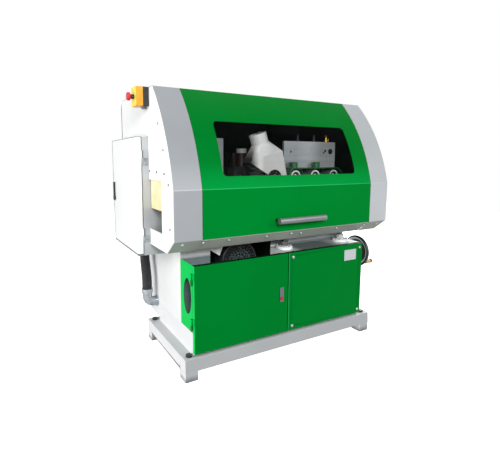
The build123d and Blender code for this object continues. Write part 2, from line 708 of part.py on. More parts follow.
def elec_hinge(z):
    y0 = ELEC_LOW_Y - HINGE_LEAF_T
    door_back = ELEC_FRONT_X + ELEC_DOOR_T

    def fixed_leaf(z0, z1):
        return block(door_back + DOOR_GAP, door_back + HINGE_LEAF, y0, ELEC_LOW_Y, z0, z1)

    def moving_leaf(z0, z1):
        return block(ELEC_FRONT_X + THIN_SHEET, door_back, y0, ELEC_LOW_Y, z0, z1)

    return standing_hinge(ELEC_AXIS_X, ELEC_AXIS_Y, z, ELEC_KNUCKLE, fixed_leaf, moving_leaf)


def cover_hinge(x):
    """Roof hinge: two fixed knuckles with the pin, and one moving knuckle between them."""
    half = HINGE_KNUCKLE / 2
    end = half + SEAT_GAP + HINGE_KNUCKLE
    fixed = rod_x(x - end, x + end, HINGE_Y, COVER_AXIS_Z, HINGE_PIN_R)
    for side in (-1, 1):
        x0, x1 = sorted((x + side * (half + SEAT_GAP), x + side * end))
        fixed += rod_x(x0, x1, HINGE_Y, COVER_AXIS_Z, HINGE_R)
        fixed += block(x0, x1, HINGE_Y, HINGE_Y + HINGE_LEAF, ROOF_Z, ROOF_Z + HINGE_LEAF_T)
    moving = rod_x(x - half, x + half, HINGE_Y, COVER_AXIS_Z, HINGE_R)
    moving += block(x - half, x + half, HINGE_Y - HINGE_LEAF, HINGE_Y, ROOF_Z, ROOF_Z + HINGE_LEAF_T)
    moving -= rod_x(x - half, x + half, HINGE_Y, COVER_AXIS_Z, HINGE_PIN_R + RUN_FIT)
    return fixed, moving


def hinges():
    """All hinges: the fixed halves share one node and the moving halves go to what they carry."""
    fixed_parts = []
    moving = {"door": [], "elec": [], "cover": []}
    for z in (DOOR_LOW_Z + DOOR_HINGE_LOW_INSET, DOOR_HIGH_Z - DOOR_HINGE_TOP_INSET):
        fixed, turning = bay_hinge(z)
        fixed_parts.append(fixed)
        moving["door"].append(turning)
    for z in (ELEC_LOW_Z + ELEC_HINGE_INSET, ELEC_HIGH_Z - ELEC_HINGE_INSET):
        fixed, turning = elec_hinge(z)
        fixed_parts.append(fixed)
        moving["elec"].append(turning)
    outer_x = COVER_HALF - COVER_HINGE_INSET
    for x in (-outer_x, 0, outer_x):
        fixed, turning = cover_hinge(x)
        fixed_parts.append(fixed)
        moving["cover"].append(turning)
    flap_y0 = INFEED_LOW_Y + FLAP_SIDE_GAP
    flap_y1 = ELEC_LOW_Y - FLAP_SIDE_GAP
    rod = rod_y(flap_y0 - FLAP_KNUCKLE_R, flap_y1 + FLAP_KNUCKLE_R / 2, FLAP_AXIS_X, FLAP_AXIS_Z, FLAP_PIN_R)
    ear_x1 = FLAP_AXIS_X + FLAP_KNUCKLE_R
    rod += block(-HOOD_HALF + SHEET, ear_x1, flap_y0 - FLAP_KNUCKLE_R, flap_y0 - SEAT_GAP,
                 FLAP_AXIS_Z - FLAP_KNUCKLE_R, FLAP_AXIS_Z + FLAP_KNUCKLE_R)
    fixed_parts.append(rod)
    keep("hinge_pins", *fixed_parts)
    return moving


def hood_body():
    """Fixed sheets of the hood: end panels, front strips, and the roof folded down into the back."""
    notch_y = ELEC_LOW_Y - ELEC_CLEAR
    notch_z = ELEC_HIGH_Z + ELEC_CLEAR
    left_lower = [
        (notch_y, LIP_Z),
        (notch_y, INFEED_LOW_Z),
        (INFEED_LOW_Y, INFEED_LOW_Z),
        (INFEED_LOW_Y, INFEED_HIGH_Z),
        (notch_y, INFEED_HIGH_Z),
        (notch_y, notch_z),
        (HOOD_BACK_Y, notch_z),
    ]
    keep("left_end_panel", end_panel(-HOOD_HALF, -HOOD_HALF + SHEET, left_lower))
    right = end_panel(HOOD_HALF - SHEET, HOOD_HALF, [(HOOD_BACK_Y, LIP_Z)])
    right -= block(HOOD_HALF - SHEET, HOOD_HALF, STICK_Y - OUTFEED_HALF_Y, STICK_Y + OUTFEED_HALF_Y,
                   STICK_Z - OUTFEED_HALF_Z, STICK_Z + OUTFEED_HALF_Z)
    keep("right_end_panel", right)

    inner = HOOD_HALF - SHEET
    roof_front = HINGE_Y + HINGE_R + DOOR_GAP
    left_strip = front_sheet(-inner, -COVER_HALF, roof_front, True, THIN_SHEET)
    right_strip = front_sheet(COVER_HALF, inner, roof_front, True, THIN_SHEET)
    keep("front_strips", left_strip, right_strip)

    back = HOOD_BACK_Y - SHEET
    bend_y = HOOD_BACK_Y - BACK_BEND_R
    bend_z = ROOF_Z - BACK_BEND_R
    under = ROOF_Z - SHEET
    edges = [
        Polyline((bend_y, ROOF_Z), (roof_front, ROOF_Z), (roof_front, under), (bend_y, under)),
        back_bend(SHEET),
        Polyline((back, bend_z), (back, LIP_Z), (HOOD_BACK_Y, LIP_Z), (HOOD_BACK_Y, bend_z)),
        back_bend(0),
    ]
    keep("roof_and_back", plate_yz(edges, -inner, inner))


def cover(hinge_halves):
    """Lifting cover with its window, handle and lower lip."""
    half = COVER_HALF - DOOR_GAP
    flange_back = HINGE_Y - HINGE_R - DOOR_GAP
    skin = front_sheet(-half, half, flange_back, False, THIN_SHEET)
    window_mid = (WINDOW_LOW_Z + WINDOW_HIGH_Z) / 2
    opening = RectangleRounded(2 * WINDOW_HALF, WINDOW_HIGH_Z - WINDOW_LOW_Z, WINDOW_R)
    skin -= plate_xz(Pos(0, window_mid) * opening, KNEE_Y - THIN_SHEET, ROOF_FRONT_Y)
    for leaf in hinge_halves:
        skin += leaf
    keep("cover_skin", skin)

    low = WINDOW_LOW_Z - PANE_LAP
    high = WINDOW_HIGH_Z + PANE_LAP
    pane_edges = [
        arc_between(low, high, THIN_SHEET),
        Line(arc_point(high, THIN_SHEET), arc_point(high, THIN_SHEET + PANE_T)),
        arc_between(high, low, THIN_SHEET + PANE_T),
        Line(arc_point(low, THIN_SHEET + PANE_T), arc_point(low, THIN_SHEET)),
    ]
    keep("window_pane", plate_yz(pane_edges, -WINDOW_HALF - PANE_LAP, WINDOW_HALF + PANE_LAP))

    bar_y = KNEE_Y - HANDLE_STANDOFF
    x0 = HANDLE_MID_X - HANDLE_LENGTH / 2
    x1 = HANDLE_MID_X + HANDLE_LENGTH / 2
    handle = rod_x(x0, x1, bar_y, HANDLE_Z, HANDLE_R)
    for x in (x0 + HANDLE_POST_INSET, x1 - HANDLE_POST_INSET):
        handle += rod_y(bar_y, KNEE_Y, x, HANDLE_Z, HANDLE_POST_R)
    keep("cover_handle", handle)

    flange_top = FRONT_BOTTOM_Z + LIP_FLANGE
    lip_points = [
        (KNEE_Y + THIN_SHEET, flange_top),
        lip_corner(THIN_SHEET),
        lip_end(THIN_SHEET),
        lip_end(2 * THIN_SHEET),
        lip_corner(2 * THIN_SHEET),
        (KNEE_Y + 2 * THIN_SHEET, flange_top),
    ]
    lip = plate_yz(Polyline(*lip_points, close=True), -half, half)
    keep("cover_lip", lip)


def bay_door(hinge_halves):
    """Hinged door of the motor bay with its latch and push button."""
    door = door_pan(COLUMN_LEFT, DIVIDER_X - DOOR_GAP / 2, CABINET_FRONT + DOOR_DEPTH)
    for leaf in hinge_halves:
        door += leaf
    keep("motor_bay_door", door)
    half_w = LATCH_WIDTH / 2
    half_h = LATCH_HEIGHT / 2
    face = CABINET_FRONT - LATCH_PROUD
    latch = block(LATCH_X - half_w, LATCH_X + half_w, face, CABINET_FRONT, LATCH_Z - half_h, LATCH_Z + half_h)
    button_z = LATCH_Z - half_h + LATCH_BUTTON
    half_b = LATCH_BUTTON / 2
    well = half_b + SEAT_GAP
    floor = CABINET_FRONT - LATCH_FLOOR
    latch -= block(LATCH_X - well, LATCH_X + well, face, floor, button_z - well, button_z + well)
    keep("latch_body", latch)
    back = floor - LATCH_TRAVEL - SEAT_GAP
    keep("latch_button", block(LATCH_X - half_b, LATCH_X + half_b, back - LATCH_TRAVEL, back,
                               button_z - half_b, button_z + half_b))


def electrical_cabinet(hinge_halves):
    """Sheet cabinet on the left of the column, its door, lock and the gear on its back wall."""
    body_front = ELEC_FRONT_X + ELEC_DOOR_T + DOOR_GAP
    body = block(body_front, COLUMN_LEFT, ELEC_LOW_Y, ELEC_HIGH_Y, ELEC_LOW_Z, ELEC_HIGH_Z)
    body -= block(body_front, COLUMN_LEFT - THIN_SHEET, ELEC_LOW_Y + THIN_SHEET, ELEC_HIGH_Y - THIN_SHEET,
                  ELEC_LOW_Z + THIN_SHEET, ELEC_HIGH_Z - THIN_SHEET)
    body -= rod_z(ELEC_LOW_Z, ELEC_LOW_Z + THIN_SHEET, CONDUIT_X, CONDUIT_TOP_Y, CONDUIT_R + RUN_FIT)
    keep("cabinet_body", body)

    door_back = ELEC_FRONT_X + ELEC_DOOR_T
    door = block(ELEC_FRONT_X, door_back, ELEC_LOW_Y, ELEC_HIGH_Y, ELEC_LOW_Z, ELEC_HIGH_Z)
    door -= block(ELEC_FRONT_X + THIN_SHEET, door_back, ELEC_LOW_Y + THIN_SHEET, ELEC_HIGH_Y - THIN_SHEET,
                  ELEC_LOW_Z + THIN_SHEET, ELEC_HIGH_Z - THIN_SHEET)
    door -= rod_x(ELEC_FRONT_X, ELEC_FRONT_X + THIN_SHEET, LOCK_Y, LOCK_Z, LOCK_R / 2 + RUN_FIT)
    for leaf in hinge_halves:
        door += leaf
    keep("cabinet_door", door)

    knob_front = ELEC_FRONT_X - SEAT_GAP - LOCK_PROUD
    lock = rod_x(knob_front, ELEC_FRONT_X - SEAT_GAP, LOCK_Y, LOCK_Z, LOCK_R)
    lock += rod_x(ELEC_FRONT_X - SEAT_GAP, door_back - THIN_SHEET, LOCK_Y, LOCK_Z, LOCK_R / 2)
    lock += block(knob_front, ELEC_FRONT_X - SEAT_GAP, LOCK_Y - LOCK_R / 2, LOCK_Y + LOCK_R / 2,
                  LOCK_Z - LOCK_R, LOCK_Z + LOCK_LEVER)
    keep("cabinet_lock", lock)

    plate_x = COLUMN_LEFT - THIN_SHEET - GEAR_PLATE_T
    margin = GEAR_PLATE_MARGIN
    gear = [block(plate_x, COLUMN_LEFT - THIN_SHEET, ELEC_LOW_Y + margin, ELEC_HIGH_Y - margin,
                  ELEC_LOW_Z + GEAR_PLATE_LOW, ELEC_HIGH_Z - margin)]
    for across, up, width, height, depth in SWITCHGEAR:
        y = ELEC_LOW_Y + across
        z = ELEC_LOW_Z + up
        gear.append(block(plate_x - depth, plate_x, y, y + width, z, z + height))
    keep("switchgear", *gear)


def emergency_stop():
    """Stop box on the left end panel: black base, yellow cover and a red mushroom button."""
    base_x = -HOOD_HALF - STOP_BASE
    face_x = base_x - STOP_COVER
    y1 = STOP_LOW_Y + STOP_WIDTH
    z0 = ROOF_Z - STOP_HEIGHT
    mid_y = STOP_LOW_Y + STOP_WIDTH / 2
    mid_z = ROOF_Z - STOP_HEIGHT / 2
    base = block(base_x, -HOOD_HALF, STOP_LOW_Y, y1, z0, ROOF_Z)
    base = fillet(base.edges().filter_by(Axis.X), SHEET)
    base += rod_z(z0 - STOP_STEM_R, z0, -HOOD_HALF - STOP_BASE / 2, mid_y, STOP_STEM_R)
    keep("estop_base", base)
    lid = block(face_x, base_x, STOP_LOW_Y, y1, z0, ROOF_Z)
    lid = fillet(lid.edges().filter_by(Axis.X), SHEET)
    depth = STOP_TRAVEL + STOP_STEM_R + SEAT_GAP
    lid -= rod_x(face_x, face_x + depth, mid_y, mid_z, STOP_STEM_R + RUN_FIT)
    keep("estop_cover", lid)
    head_x = face_x - STOP_STEM
    button = rod_x(head_x, face_x + STOP_STEM_R, mid_y, mid_z, STOP_STEM_R)
    head = rod_x(head_x - STOP_HEAD, head_x, mid_y, mid_z, STOP_HEAD_R)
    head = fillet(head.edges().sort_by(Axis.X)[0], STOP_HEAD / 2)
    keep("estop_button", button + head)


def conduit():
    """Flexible conduit from the cabinet down to an elbow in the belt guard's side, leaning to the front."""
    top_nut = ELEC_LOW_Z - CONDUIT_NUT
    low_nut = CONDUIT_LOW_Z + CONDUIT_OUT + CONDUIT_NUT
    top_end = (CONDUIT_X, CONDUIT_TOP_Y, top_nut)
    top_bend = (CONDUIT_X, CONDUIT_TOP_Y, top_nut - CONDUIT_STRAIGHT_TOP)
    low_bend = (CONDUIT_X, CONDUIT_Y, low_nut + CONDUIT_STRAIGHT_LOW)
    low_end = (CONDUIT_X, CONDUIT_Y, low_nut)
    route = FilletPolyline(top_end, top_bend, low_bend, low_end, radius=[CONDUIT_BEND_R, CONDUIT_BEND_R])
    keep("conduit", sweep(Plane(top_end, z_dir=(0, 0, -1)) * Circle(CONDUIT_R), path=route))
    top = rod_z(top_nut, ELEC_LOW_Z, CONDUIT_X, CONDUIT_TOP_Y, CONDUIT_NUT_R)
    top += rod_z(ELEC_LOW_Z, ELEC_LOW_Z + CONDUIT_NUT / 2, CONDUIT_X, CONDUIT_TOP_Y, CONDUIT_R)
    corner = (CONDUIT_X, CONDUIT_Y, CONDUIT_LOW_Z)
    end = (COLUMN_LEFT + CONDUIT_NUT / 2, CONDUIT_Y, CONDUIT_LOW_Z)
    bend = FilletPolyline(low_end, corner, end, radius=ELBOW_R)
    elbow = sweep(Plane(low_end, z_dir=(0, 0, -1)) * Circle(CONDUIT_R), path=bend)
    elbow += rod_z(low_nut - CONDUIT_NUT, low_nut, CONDUIT_X, CONDUIT_Y, CONDUIT_NUT_R)
    elbow += rod_x(COLUMN_LEFT - CONDUIT_NUT / 2, COLUMN_LEFT, CONDUIT_Y, CONDUIT_LOW_Z, CONDUIT_NUT_R)
    keep("conduit_fittings", top, elbow)


def motor():
    """Foot-mounted motor along Y: finned housing, perforated fan cover, and rotor with fan and pulley."""
    body_front = FAN_FACE_Y + FAN_COVER_LENGTH
    body_back = body_front + MOTOR_BODY_LENGTH
    body = rod_y(body_front, body_back, MOTOR_X, MOTOR_Z, MOTOR_R)
    for i in range(FIN_COUNT):
        fin = Pos(0, 0, MOTOR_R) * Box(FIN_T, MOTOR_BODY_LENGTH - 2 * MOTOR_FIN, 2 * MOTOR_FIN)
        body += Pos(MOTOR_X, (body_front + body_back) / 2, MOTOR_Z) * Rot(0, 360 / FIN_COUNT * i, 0) * fin
    body += rod_y(body_front, body_front + MOTOR_FIN, MOTOR_X, MOTOR_Z, FAN_COVER_R)
    body += rod_y(body_back - MOTOR_FIN, body_back, MOTOR_X, MOTOR_Z, FAN_COVER_R - SHEET)
    foot_z = MOTOR_Z - MOTOR_HEIGHT
    for y in (body_front + MOTOR_R / 2, body_back - MOTOR_R / 2):
        body += block(MOTOR_X - MOTOR_R, MOTOR_X + MOTOR_R, y - MOTOR_FIN * 2, y + MOTOR_FIN * 2,
                      foot_z, foot_z + MOTOR_FOOT)
        body += block(MOTOR_X - MOTOR_R / 2, MOTOR_X + MOTOR_R / 2, y - MOTOR_FIN, y + MOTOR_FIN,
                      foot_z, MOTOR_Z)
    body -= rod_y(body_front, body_back, MOTOR_X, MOTOR_Z, MOTOR_SHAFT_R + RUN_FIT)
    keep("motor_housing", body)

    shell = rod_y(FAN_FACE_Y, body_front, MOTOR_X, MOTOR_Z, FAN_COVER_R)
    shell = fillet(shell.edges().sort_by(Axis.Y)[0], MOTOR_FIN)
    shell -= rod_y(FAN_FACE_Y + SHEET, body_front, MOTOR_X, MOTOR_Z, FAN_COVER_R - THIN_SHEET)
    for ring in range(1, FAN_RINGS + 1):
        reach = ring * FAN_RING_PITCH
        holes = ring * FAN_RING_HOLES
        for i in range(holes):
            angle = 2 * pi * i / holes
            shell -= rod_y(FAN_FACE_Y, FAN_FACE_Y + SHEET, MOTOR_X + reach * cos(angle),
                           MOTOR_Z + reach * sin(angle), FAN_HOLE_R)
    keep("fan_cover", shell)

    fan_back = body_front - MOTOR_FIN
    fan_front = fan_back - FAN_COVER_LENGTH / 2
    pulley_back = PULLEY_FRONT_Y + PULLEY_WIDTH
    rotor = rod_y(fan_front, pulley_back, MOTOR_X, MOTOR_Z, MOTOR_SHAFT_R)
    rotor += rod_y(fan_back - SHEET, fan_back, MOTOR_X, MOTOR_Z, MOTOR_R)
    for i in range(FAN_BLADES):
        blade = block(-SHEET / 2, SHEET / 2, fan_front, fan_back, MOTOR_SHAFT_R - SHEET, MOTOR_R)
        rotor += Pos(MOTOR_X, 0, MOTOR_Z) * Rot(0, 360 / FAN_BLADES * i, 0) * blade
    rotor += rod_y(PULLEY_FRONT_Y, pulley_back, MOTOR_X, MOTOR_Z, MOTOR_PULLEY_R)
    keep("motor_rotor", rotor)


LOWER_Z = STICK_Z - SPINDLE_OFFSET
UPPER_Z = STICK_Z + SPINDLE_OFFSET
OUT_Z = STICK_Z + STICK_R + ROLLER_R
IN_Z = STICK_Z + BLANK_HALF + INFEED_R


def drive_belt():
    """Flat band round the motor pulley and the lower spindle's pulley."""
    y0 = PULLEY_FRONT_Y + (PULLEY_WIDTH - BELT_WIDTH) / 2
    inner = belt_outline(BELT_GAP)
    outer = belt_outline(BELT_GAP + BELT_T)
    keep("drive_belt", plate_xz(outer, y0, y0 + BELT_WIDTH) - plate_xz(inner, y0, y0 + BELT_WIDTH))


def belt_outline(extra):
    """Hull of the two pulley circles in the XZ plane, grown by extra."""
    dx = SPINDLE_X - MOTOR_X
    dz = LOWER_Z - MOTOR_Z
    span = sqrt(dx**2 + dz**2)
    lean = (MOTOR_PULLEY_R - SPINDLE_PULLEY_R) / span
    side = sqrt(1 - lean**2)
    corners = []
    for sign in (-1, 1):
        normal_x = lean * dx / span - sign * side * dz / span
        normal_z = lean * dz / span + sign * side * dx / span
        big = MOTOR_PULLEY_R + extra
        small = SPINDLE_PULLEY_R + extra
        corners.append(((MOTOR_X + big * normal_x, MOTOR_Z + big * normal_z),
                        (SPINDLE_X + small * normal_x, LOWER_Z + small * normal_z)))
    (low_a, high_a), (low_b, high_b) = corners
    far = (MOTOR_X - (MOTOR_PULLEY_R + extra) * dx / span, MOTOR_Z - (MOTOR_PULLEY_R + extra) * dz / span)
    near = (SPINDLE_X + (SPINDLE_PULLEY_R + extra) * dx / span,
            LOWER_Z + (SPINDLE_PULLEY_R + extra) * dz / span)
    return make_face([
        Line(low_a, high_a),
        ThreePointArc(high_a, near, high_b),
        Line(high_b, low_b),
        ThreePointArc(low_b, far, low_a),
    ])


TOOTH_CORNERS = [
    (-TOOTH_ROOT_SHARE, -TOOTH_DEPTH),
    (-TOOTH_TIP_SHARE, TOOTH_HEIGHT),
    (TOOTH_TIP_SHARE, TOOTH_HEIGHT),
    (TOOTH_ROOT_SHARE, -TOOTH_DEPTH),
]


def gear_points(teeth, module, scale, phase):
    """Corner points of a spur gear outline with straight flanks and a little backlash."""
    pitch_r = teeth * module / 2
    points = []
    for i in range(teeth):
        middle = 2 * pi * (i + phase) / teeth
        for share, rise in TOOTH_CORNERS:
            angle = middle + share * 2 * pi / teeth
            reach = (pitch_r + rise * module) * scale
            points.append((reach * cos(angle), reach * sin(angle)))
    return points


def spur_gear(y0, y1, z):
    outline = make_face(Polyline(*gear_points(GEAR_TEETH, GEAR_MODULE, 1, GEAR_PHASE), close=True))
    return plate_xz(Pos(SPINDLE_X, z) * outline, y0, y1)


def cutter(z):
    """Half-round cutter: a drum with the stick's profile turned into it and slots for its knives."""
    y0 = STICK_Y - CUTTER_HALF_WIDTH
    y1 = STICK_Y + CUTTER_HALF_WIDTH
    radius = SPINDLE_OFFSET - CUTTER_GAP
    drum = rod_y(y0, y1, SPINDLE_X, z, radius)
    ring = Pos(SPINDLE_X, STICK_Y, z) * Rot(90, 0, 0) * Torus(SPINDLE_OFFSET, STICK_R)
    drum -= ring
    for i in range(KNIFE_COUNT):
        slot = Pos(radius, 0, 0) * Box(2 * KNIFE_DEPTH, 2 * CUTTER_HALF_WIDTH, KNIFE_SLOT)
        drum -= Pos(SPINDLE_X, STICK_Y, z) * Rot(0, 360 / KNIFE_COUNT * i, 0) * slot
    return drum - rod_y(y0, y1, SPINDLE_X, z, SPINDLE_R)


def spindles():
    """Two geared cutter spindles along Y in one housing on the bed. The belts drive the lower one."""
    half = SPINDLE_R + SPINDLE_WALL
    housing = block(SPINDLE_X - half, SPINDLE_X + half, SPINDLE_FRONT, SPINDLE_BACK, BED_TOP, UPPER_Z + half)
    nose = STICK_Y - CUTTER_HALF_WIDTH - SPINDLE_NOSE
    gear_y0 = SPINDLE_BACK + GEAR_GAP
    gear_y1 = gear_y0 + GEAR_WIDTH
    for z in (LOWER_Z, UPPER_Z):
        housing -= rod_y(SPINDLE_FRONT, SPINDLE_BACK, SPINDLE_X, z, SPINDLE_R + RUN_FIT)
    keep("spindle_housing", housing)
    upper = rod_y(nose, gear_y1, SPINDLE_X, UPPER_Z, SPINDLE_R) + spur_gear(gear_y0, gear_y1, UPPER_Z)
    keep("upper_spindle", upper)
    keep("upper_cutter", cutter(UPPER_Z))
    pulley_back = PULLEY_FRONT_Y + PULLEY_WIDTH
    lower = rod_y(nose, pulley_back, SPINDLE_X, LOWER_Z, SPINDLE_R)
    lower += spur_gear(gear_y0, gear_y1, LOWER_Z)
    lower += rod_y(PULLEY_FRONT_Y, pulley_back, SPINDLE_X, LOWER_Z, SPINDLE_PULLEY_R)
    lower += cutter(LOWER_Z)
    keep("lower_spindle", lower)


def dust_chute():
    """Moulded chute: a box over the upper cutter, a transition and a tilted round outlet."""
    wall = CHUTE_WALL
    mid_y = (CHUTE_FRONT + CHUTE_BACK) / 2
    depth = CHUTE_BACK - CHUTE_FRONT
    corners = [
        (CHUTE_FOOT_X, CHUTE_LOW_Z),
        (CHUTE_RIGHT_X, CHUTE_LOW_Z),
        (CHUTE_SHOULDER_X, CHUTE_SHOULDER_Z),
        (CHUTE_LEFT_X, CHUTE_LEFT_Z),
    ]
    outline = make_face(Polyline(*corners, close=True))
    slope = Vector(CHUTE_SHOULDER_X - CHUTE_LEFT_X, 0, CHUTE_SHOULDER_Z - CHUTE_LEFT_Z)
    top_mid = ((CHUTE_SHOULDER_X + CHUTE_LEFT_X) / 2, mid_y, (CHUTE_SHOULDER_Z + CHUTE_LEFT_Z) / 2)
    top_plane = Plane(top_mid, x_dir=slope, z_dir=Vector(-slope.Z, 0, slope.X))
    lean = radians(DUST_TILT)
    neck = (DUST_NECK_X, mid_y, DUST_NECK_Z)
    neck_plane = Plane(neck, x_dir=(cos(lean), 0, sin(lean)), z_dir=(-sin(lean), 0, cos(lean)))

    chute = plate_xz(outline, CHUTE_FRONT, CHUTE_BACK)
    chute += loft([top_plane * Rectangle(slope.length, depth), neck_plane * Circle(DUST_R)])
    chute += extrude(neck_plane * Circle(DUST_R), DUST_LENGTH)
    throat = top_plane.offset(-wall) * Rectangle(slope.length - 2 * THROAT_INSET, depth - 2 * wall)
    bore = neck_plane.offset(wall / 2) * Circle(DUST_R - wall)
    chute -= loft([throat, bore])
    chute -= extrude(bore, DUST_LENGTH + wall)
    chute -= plate_xz(offset(outline, -wall), CHUTE_FRONT + wall, CHUTE_BACK - wall)
    chute -= block(CHUTE_FOOT_X + wall, CHUTE_RIGHT_X - wall, CHUTE_FRONT + wall, CHUTE_BACK - wall,
                   CHUTE_LOW_Z - wall, CHUTE_LOW_Z + wall)
    y0 = CHUTE_FRONT - DOOR_DEPTH
    y1 = CHUTE_BACK + DOOR_DEPTH
    chute -= rod_y(y0, y1, INFEED_X, IN_Z, INFEED_R + CHUTE_NOTCH_CLEAR)
    front_in = CHUTE_FRONT + wall
    back_in = CHUTE_BACK - wall
    for z, radius, start, end in (
        (UPPER_Z - CHUTE_CUT_DROP, CHUTE_CUT_R, y0, front_in),
        (UPPER_Z, SPINDLE_OFFSET + CHUTE_CUTTER_CLEAR, front_in, back_in),
        (UPPER_Z, CHUTE_BACK_HOLE_R, back_in, y1),
    ):
        chute -= rod_y(start, end, SPINDLE_X, z, radius)
        chute -= block(SPINDLE_X - radius, SPINDLE_X + radius, start, end, CHUTE_LOW_Z - wall, z)
    keep("dust_chute", chute)


def feed_shaft(x, z, y_back):
    """Cantilevered roller shaft with the chain sprocket behind its bearing."""
    y0 = ROLLER_FRONT + ROLLER_LENGTH
    shaft = rod_y(y0, y_back + 2 * SPROCKET_T, x, z, ROLLER_SHAFT_R)
    return shaft + rod_y(y_back + SPROCKET_T / 2, y_back + 2 * SPROCKET_T, x, z, SPROCKET_R)


def feed_rollers():
    """Three driven outfeed rollers and one driven spiked infeed roller."""
    back = ROLLER_FRONT + ROLLER_LENGTH
    for i in range(ROLLER_COUNT):
        x = ROLLER_FIRST_X + i * ROLLER_PITCH
        roller = rod_y(ROLLER_FRONT, back, x, OUT_Z, ROLLER_R)
        roller -= rod_y(ROLLER_FRONT, ROLLER_FRONT + ROLLER_RECESS, x, OUT_Z, ROLLER_RECESS_R)
        roller += rod_y(ROLLER_FRONT + ROLLER_RECESS / 2, ROLLER_FRONT + ROLLER_RECESS,
                        x, OUT_Z, ROLLER_SHAFT_R)
        keep(f"outfeed_roller_{i + 1}", roller + feed_shaft(x, OUT_Z, FRAME_BACK))
    points = []
    for i in range(SPIKE_COUNT):
        for share, radius in ((0, INFEED_R), (0.5, INFEED_R - SPIKE_DEPTH)):
            angle = 2 * pi * (i + share) / SPIKE_COUNT
            points.append((radius * cos(angle), radius * sin(angle)))
    drum = plate_xz(Pos(INFEED_X, IN_Z) * make_face(Polyline(*points, close=True)), ROLLER_FRONT, back)
    keep("infeed_roller", drum + feed_shaft(INFEED_X, IN_Z, UNIT_BACK))


def outfeed_frame():
    """Green casting behind the outfeed rollers, with a rim over them, and the steel plate on it."""
    head_low = OUT_Z - ROLLER_R
    frame = block(FRAME_LEFT, FRAME_RIGHT, FRAME_FRONT, FRAME_BACK, head_low, FRAME_TOP)
    wall_y0 = FRAME_BACK - FRAME_WALL
    frame += block(FRAME_LEFT, FRAME_RIGHT, wall_y0, FRAME_BACK, BED_TOP, head_low)
    frame += block(FRAME_LEFT, FRAME_RIGHT, FRAME_BACK, FRAME_BACK + FRAME_FOOT, BED_TOP, BED_TOP + BED_T)
    rim_low = FRAME_TOP - RIM_SLOPE_Z
    outer = [(FRAME_LEFT, rim_low), (FRAME_LEFT + RIM_SLOPE_X, FRAME_TOP),
             (FRAME_RIGHT - RIM_SLOPE_X, FRAME_TOP), (FRAME_RIGHT, rim_low)]
    lower = [(x, z - RIM_T) for x, z in reversed(outer)]
    rim = make_face(Polyline(*outer, *lower, close=True))
    frame += plate_xz(rim, ROLLER_FRONT, FRAME_FRONT)
    for i in range(ROLLER_COUNT):
        x = ROLLER_FIRST_X + i * ROLLER_PITCH
        frame -= rod_y(FRAME_FRONT, FRAME_BACK, x, OUT_Z, ROLLER_SHAFT_R + RUN_FIT)
    boss_y = (ROLLER_FRONT + PLATE_FRONT) / 2
    for i in range(BOSS_COUNT):
        x = ROLLER_FIRST_X + BOSS_FIRST + i * BOSS_PITCH
        frame += rod_z(FRAME_TOP - RIM_T, BOSS_TOP, x, boss_y, BOSS_R)
    keep("outfeed_frame", frame)
    keep("outfeed_plate", block(PLATE_LEFT, FRAME_RIGHT - RIM_T, PLATE_FRONT, PLATE_FRONT + PLATE_T,
                                FRAME_TOP, PLATE_TOP))


def infeed_parts(flap_y0, flap_y1):
    """Tunnel guard, roller unit with its barrel and bar, and the hanging flap of the infeed side."""
    guard = block(TUNNEL_LEFT, TUNNEL_RIGHT, TUNNEL_FRONT, TUNNEL_BACK, BED_TOP, TUNNEL_TOP)
    guard -= block(TUNNEL_LEFT, TUNNEL_RIGHT, TUNNEL_FRONT + THIN_SHEET, TUNNEL_BACK - THIN_SHEET,
                   BED_TOP, TUNNEL_TOP - THIN_SHEET)
    trough_low = STICK_Z - BLANK_HALF
    guard += block(TUNNEL_LEFT, TUNNEL_RIGHT, TUNNEL_FRONT + THIN_SHEET, TUNNEL_BACK - THIN_SHEET,
                   trough_low - 2 * SHEET, trough_low)
    keep("infeed_guard", guard)

    unit = block(UNIT_LEFT, UNIT_RIGHT, UNIT_FRONT, UNIT_BACK, BED_TOP, UNIT_BLOCK_TOP)
    reach = INFEED_X + ROLLER_SHAFT_R * 3
    unit += block(UNIT_RIGHT, reach, UNIT_FRONT, UNIT_BACK, IN_Z - ROLLER_R, IN_Z + ROLLER_R)
    barrel_x = UNIT_RIGHT - UNIT_BARREL_INSET
    barrel_y = (UNIT_FRONT + UNIT_BACK) / 2
    barrel_top = UNIT_TOP - UNIT_CAP
    unit += rod_z(UNIT_BLOCK_TOP, barrel_top, barrel_x, barrel_y, UNIT_BARREL_R)
    unit += rod_z(barrel_top, UNIT_TOP, barrel_x, barrel_y, UNIT_CAP_R)
    bar_x = UNIT_LEFT + UNIT_BAR_INSET
    unit += block(bar_x, bar_x + UNIT_BAR, barrel_y - UNIT_BAR / 2, barrel_y + UNIT_BAR / 2,
                  UNIT_BLOCK_TOP, barrel_top)
    unit -= rod_y(UNIT_FRONT, UNIT_BACK, INFEED_X, IN_Z, ROLLER_SHAFT_R + RUN_FIT)
    keep("infeed_pressure_unit", unit)

    half_t = FLAP_T / 2
    flap = block(FLAP_AXIS_X - half_t, FLAP_AXIS_X + half_t, flap_y0, flap_y1, FLAP_LOW_Z, FLAP_AXIS_Z)
    flap += rod_y(flap_y0, flap_y1, FLAP_AXIS_X, FLAP_AXIS_Z, FLAP_KNUCKLE_R)
    flap -= rod_y(flap_y0, flap_y1, FLAP_AXIS_X, FLAP_AXIS_Z, FLAP_PIN_R + RUN_FIT)
    keep("infeed_flap", flap)


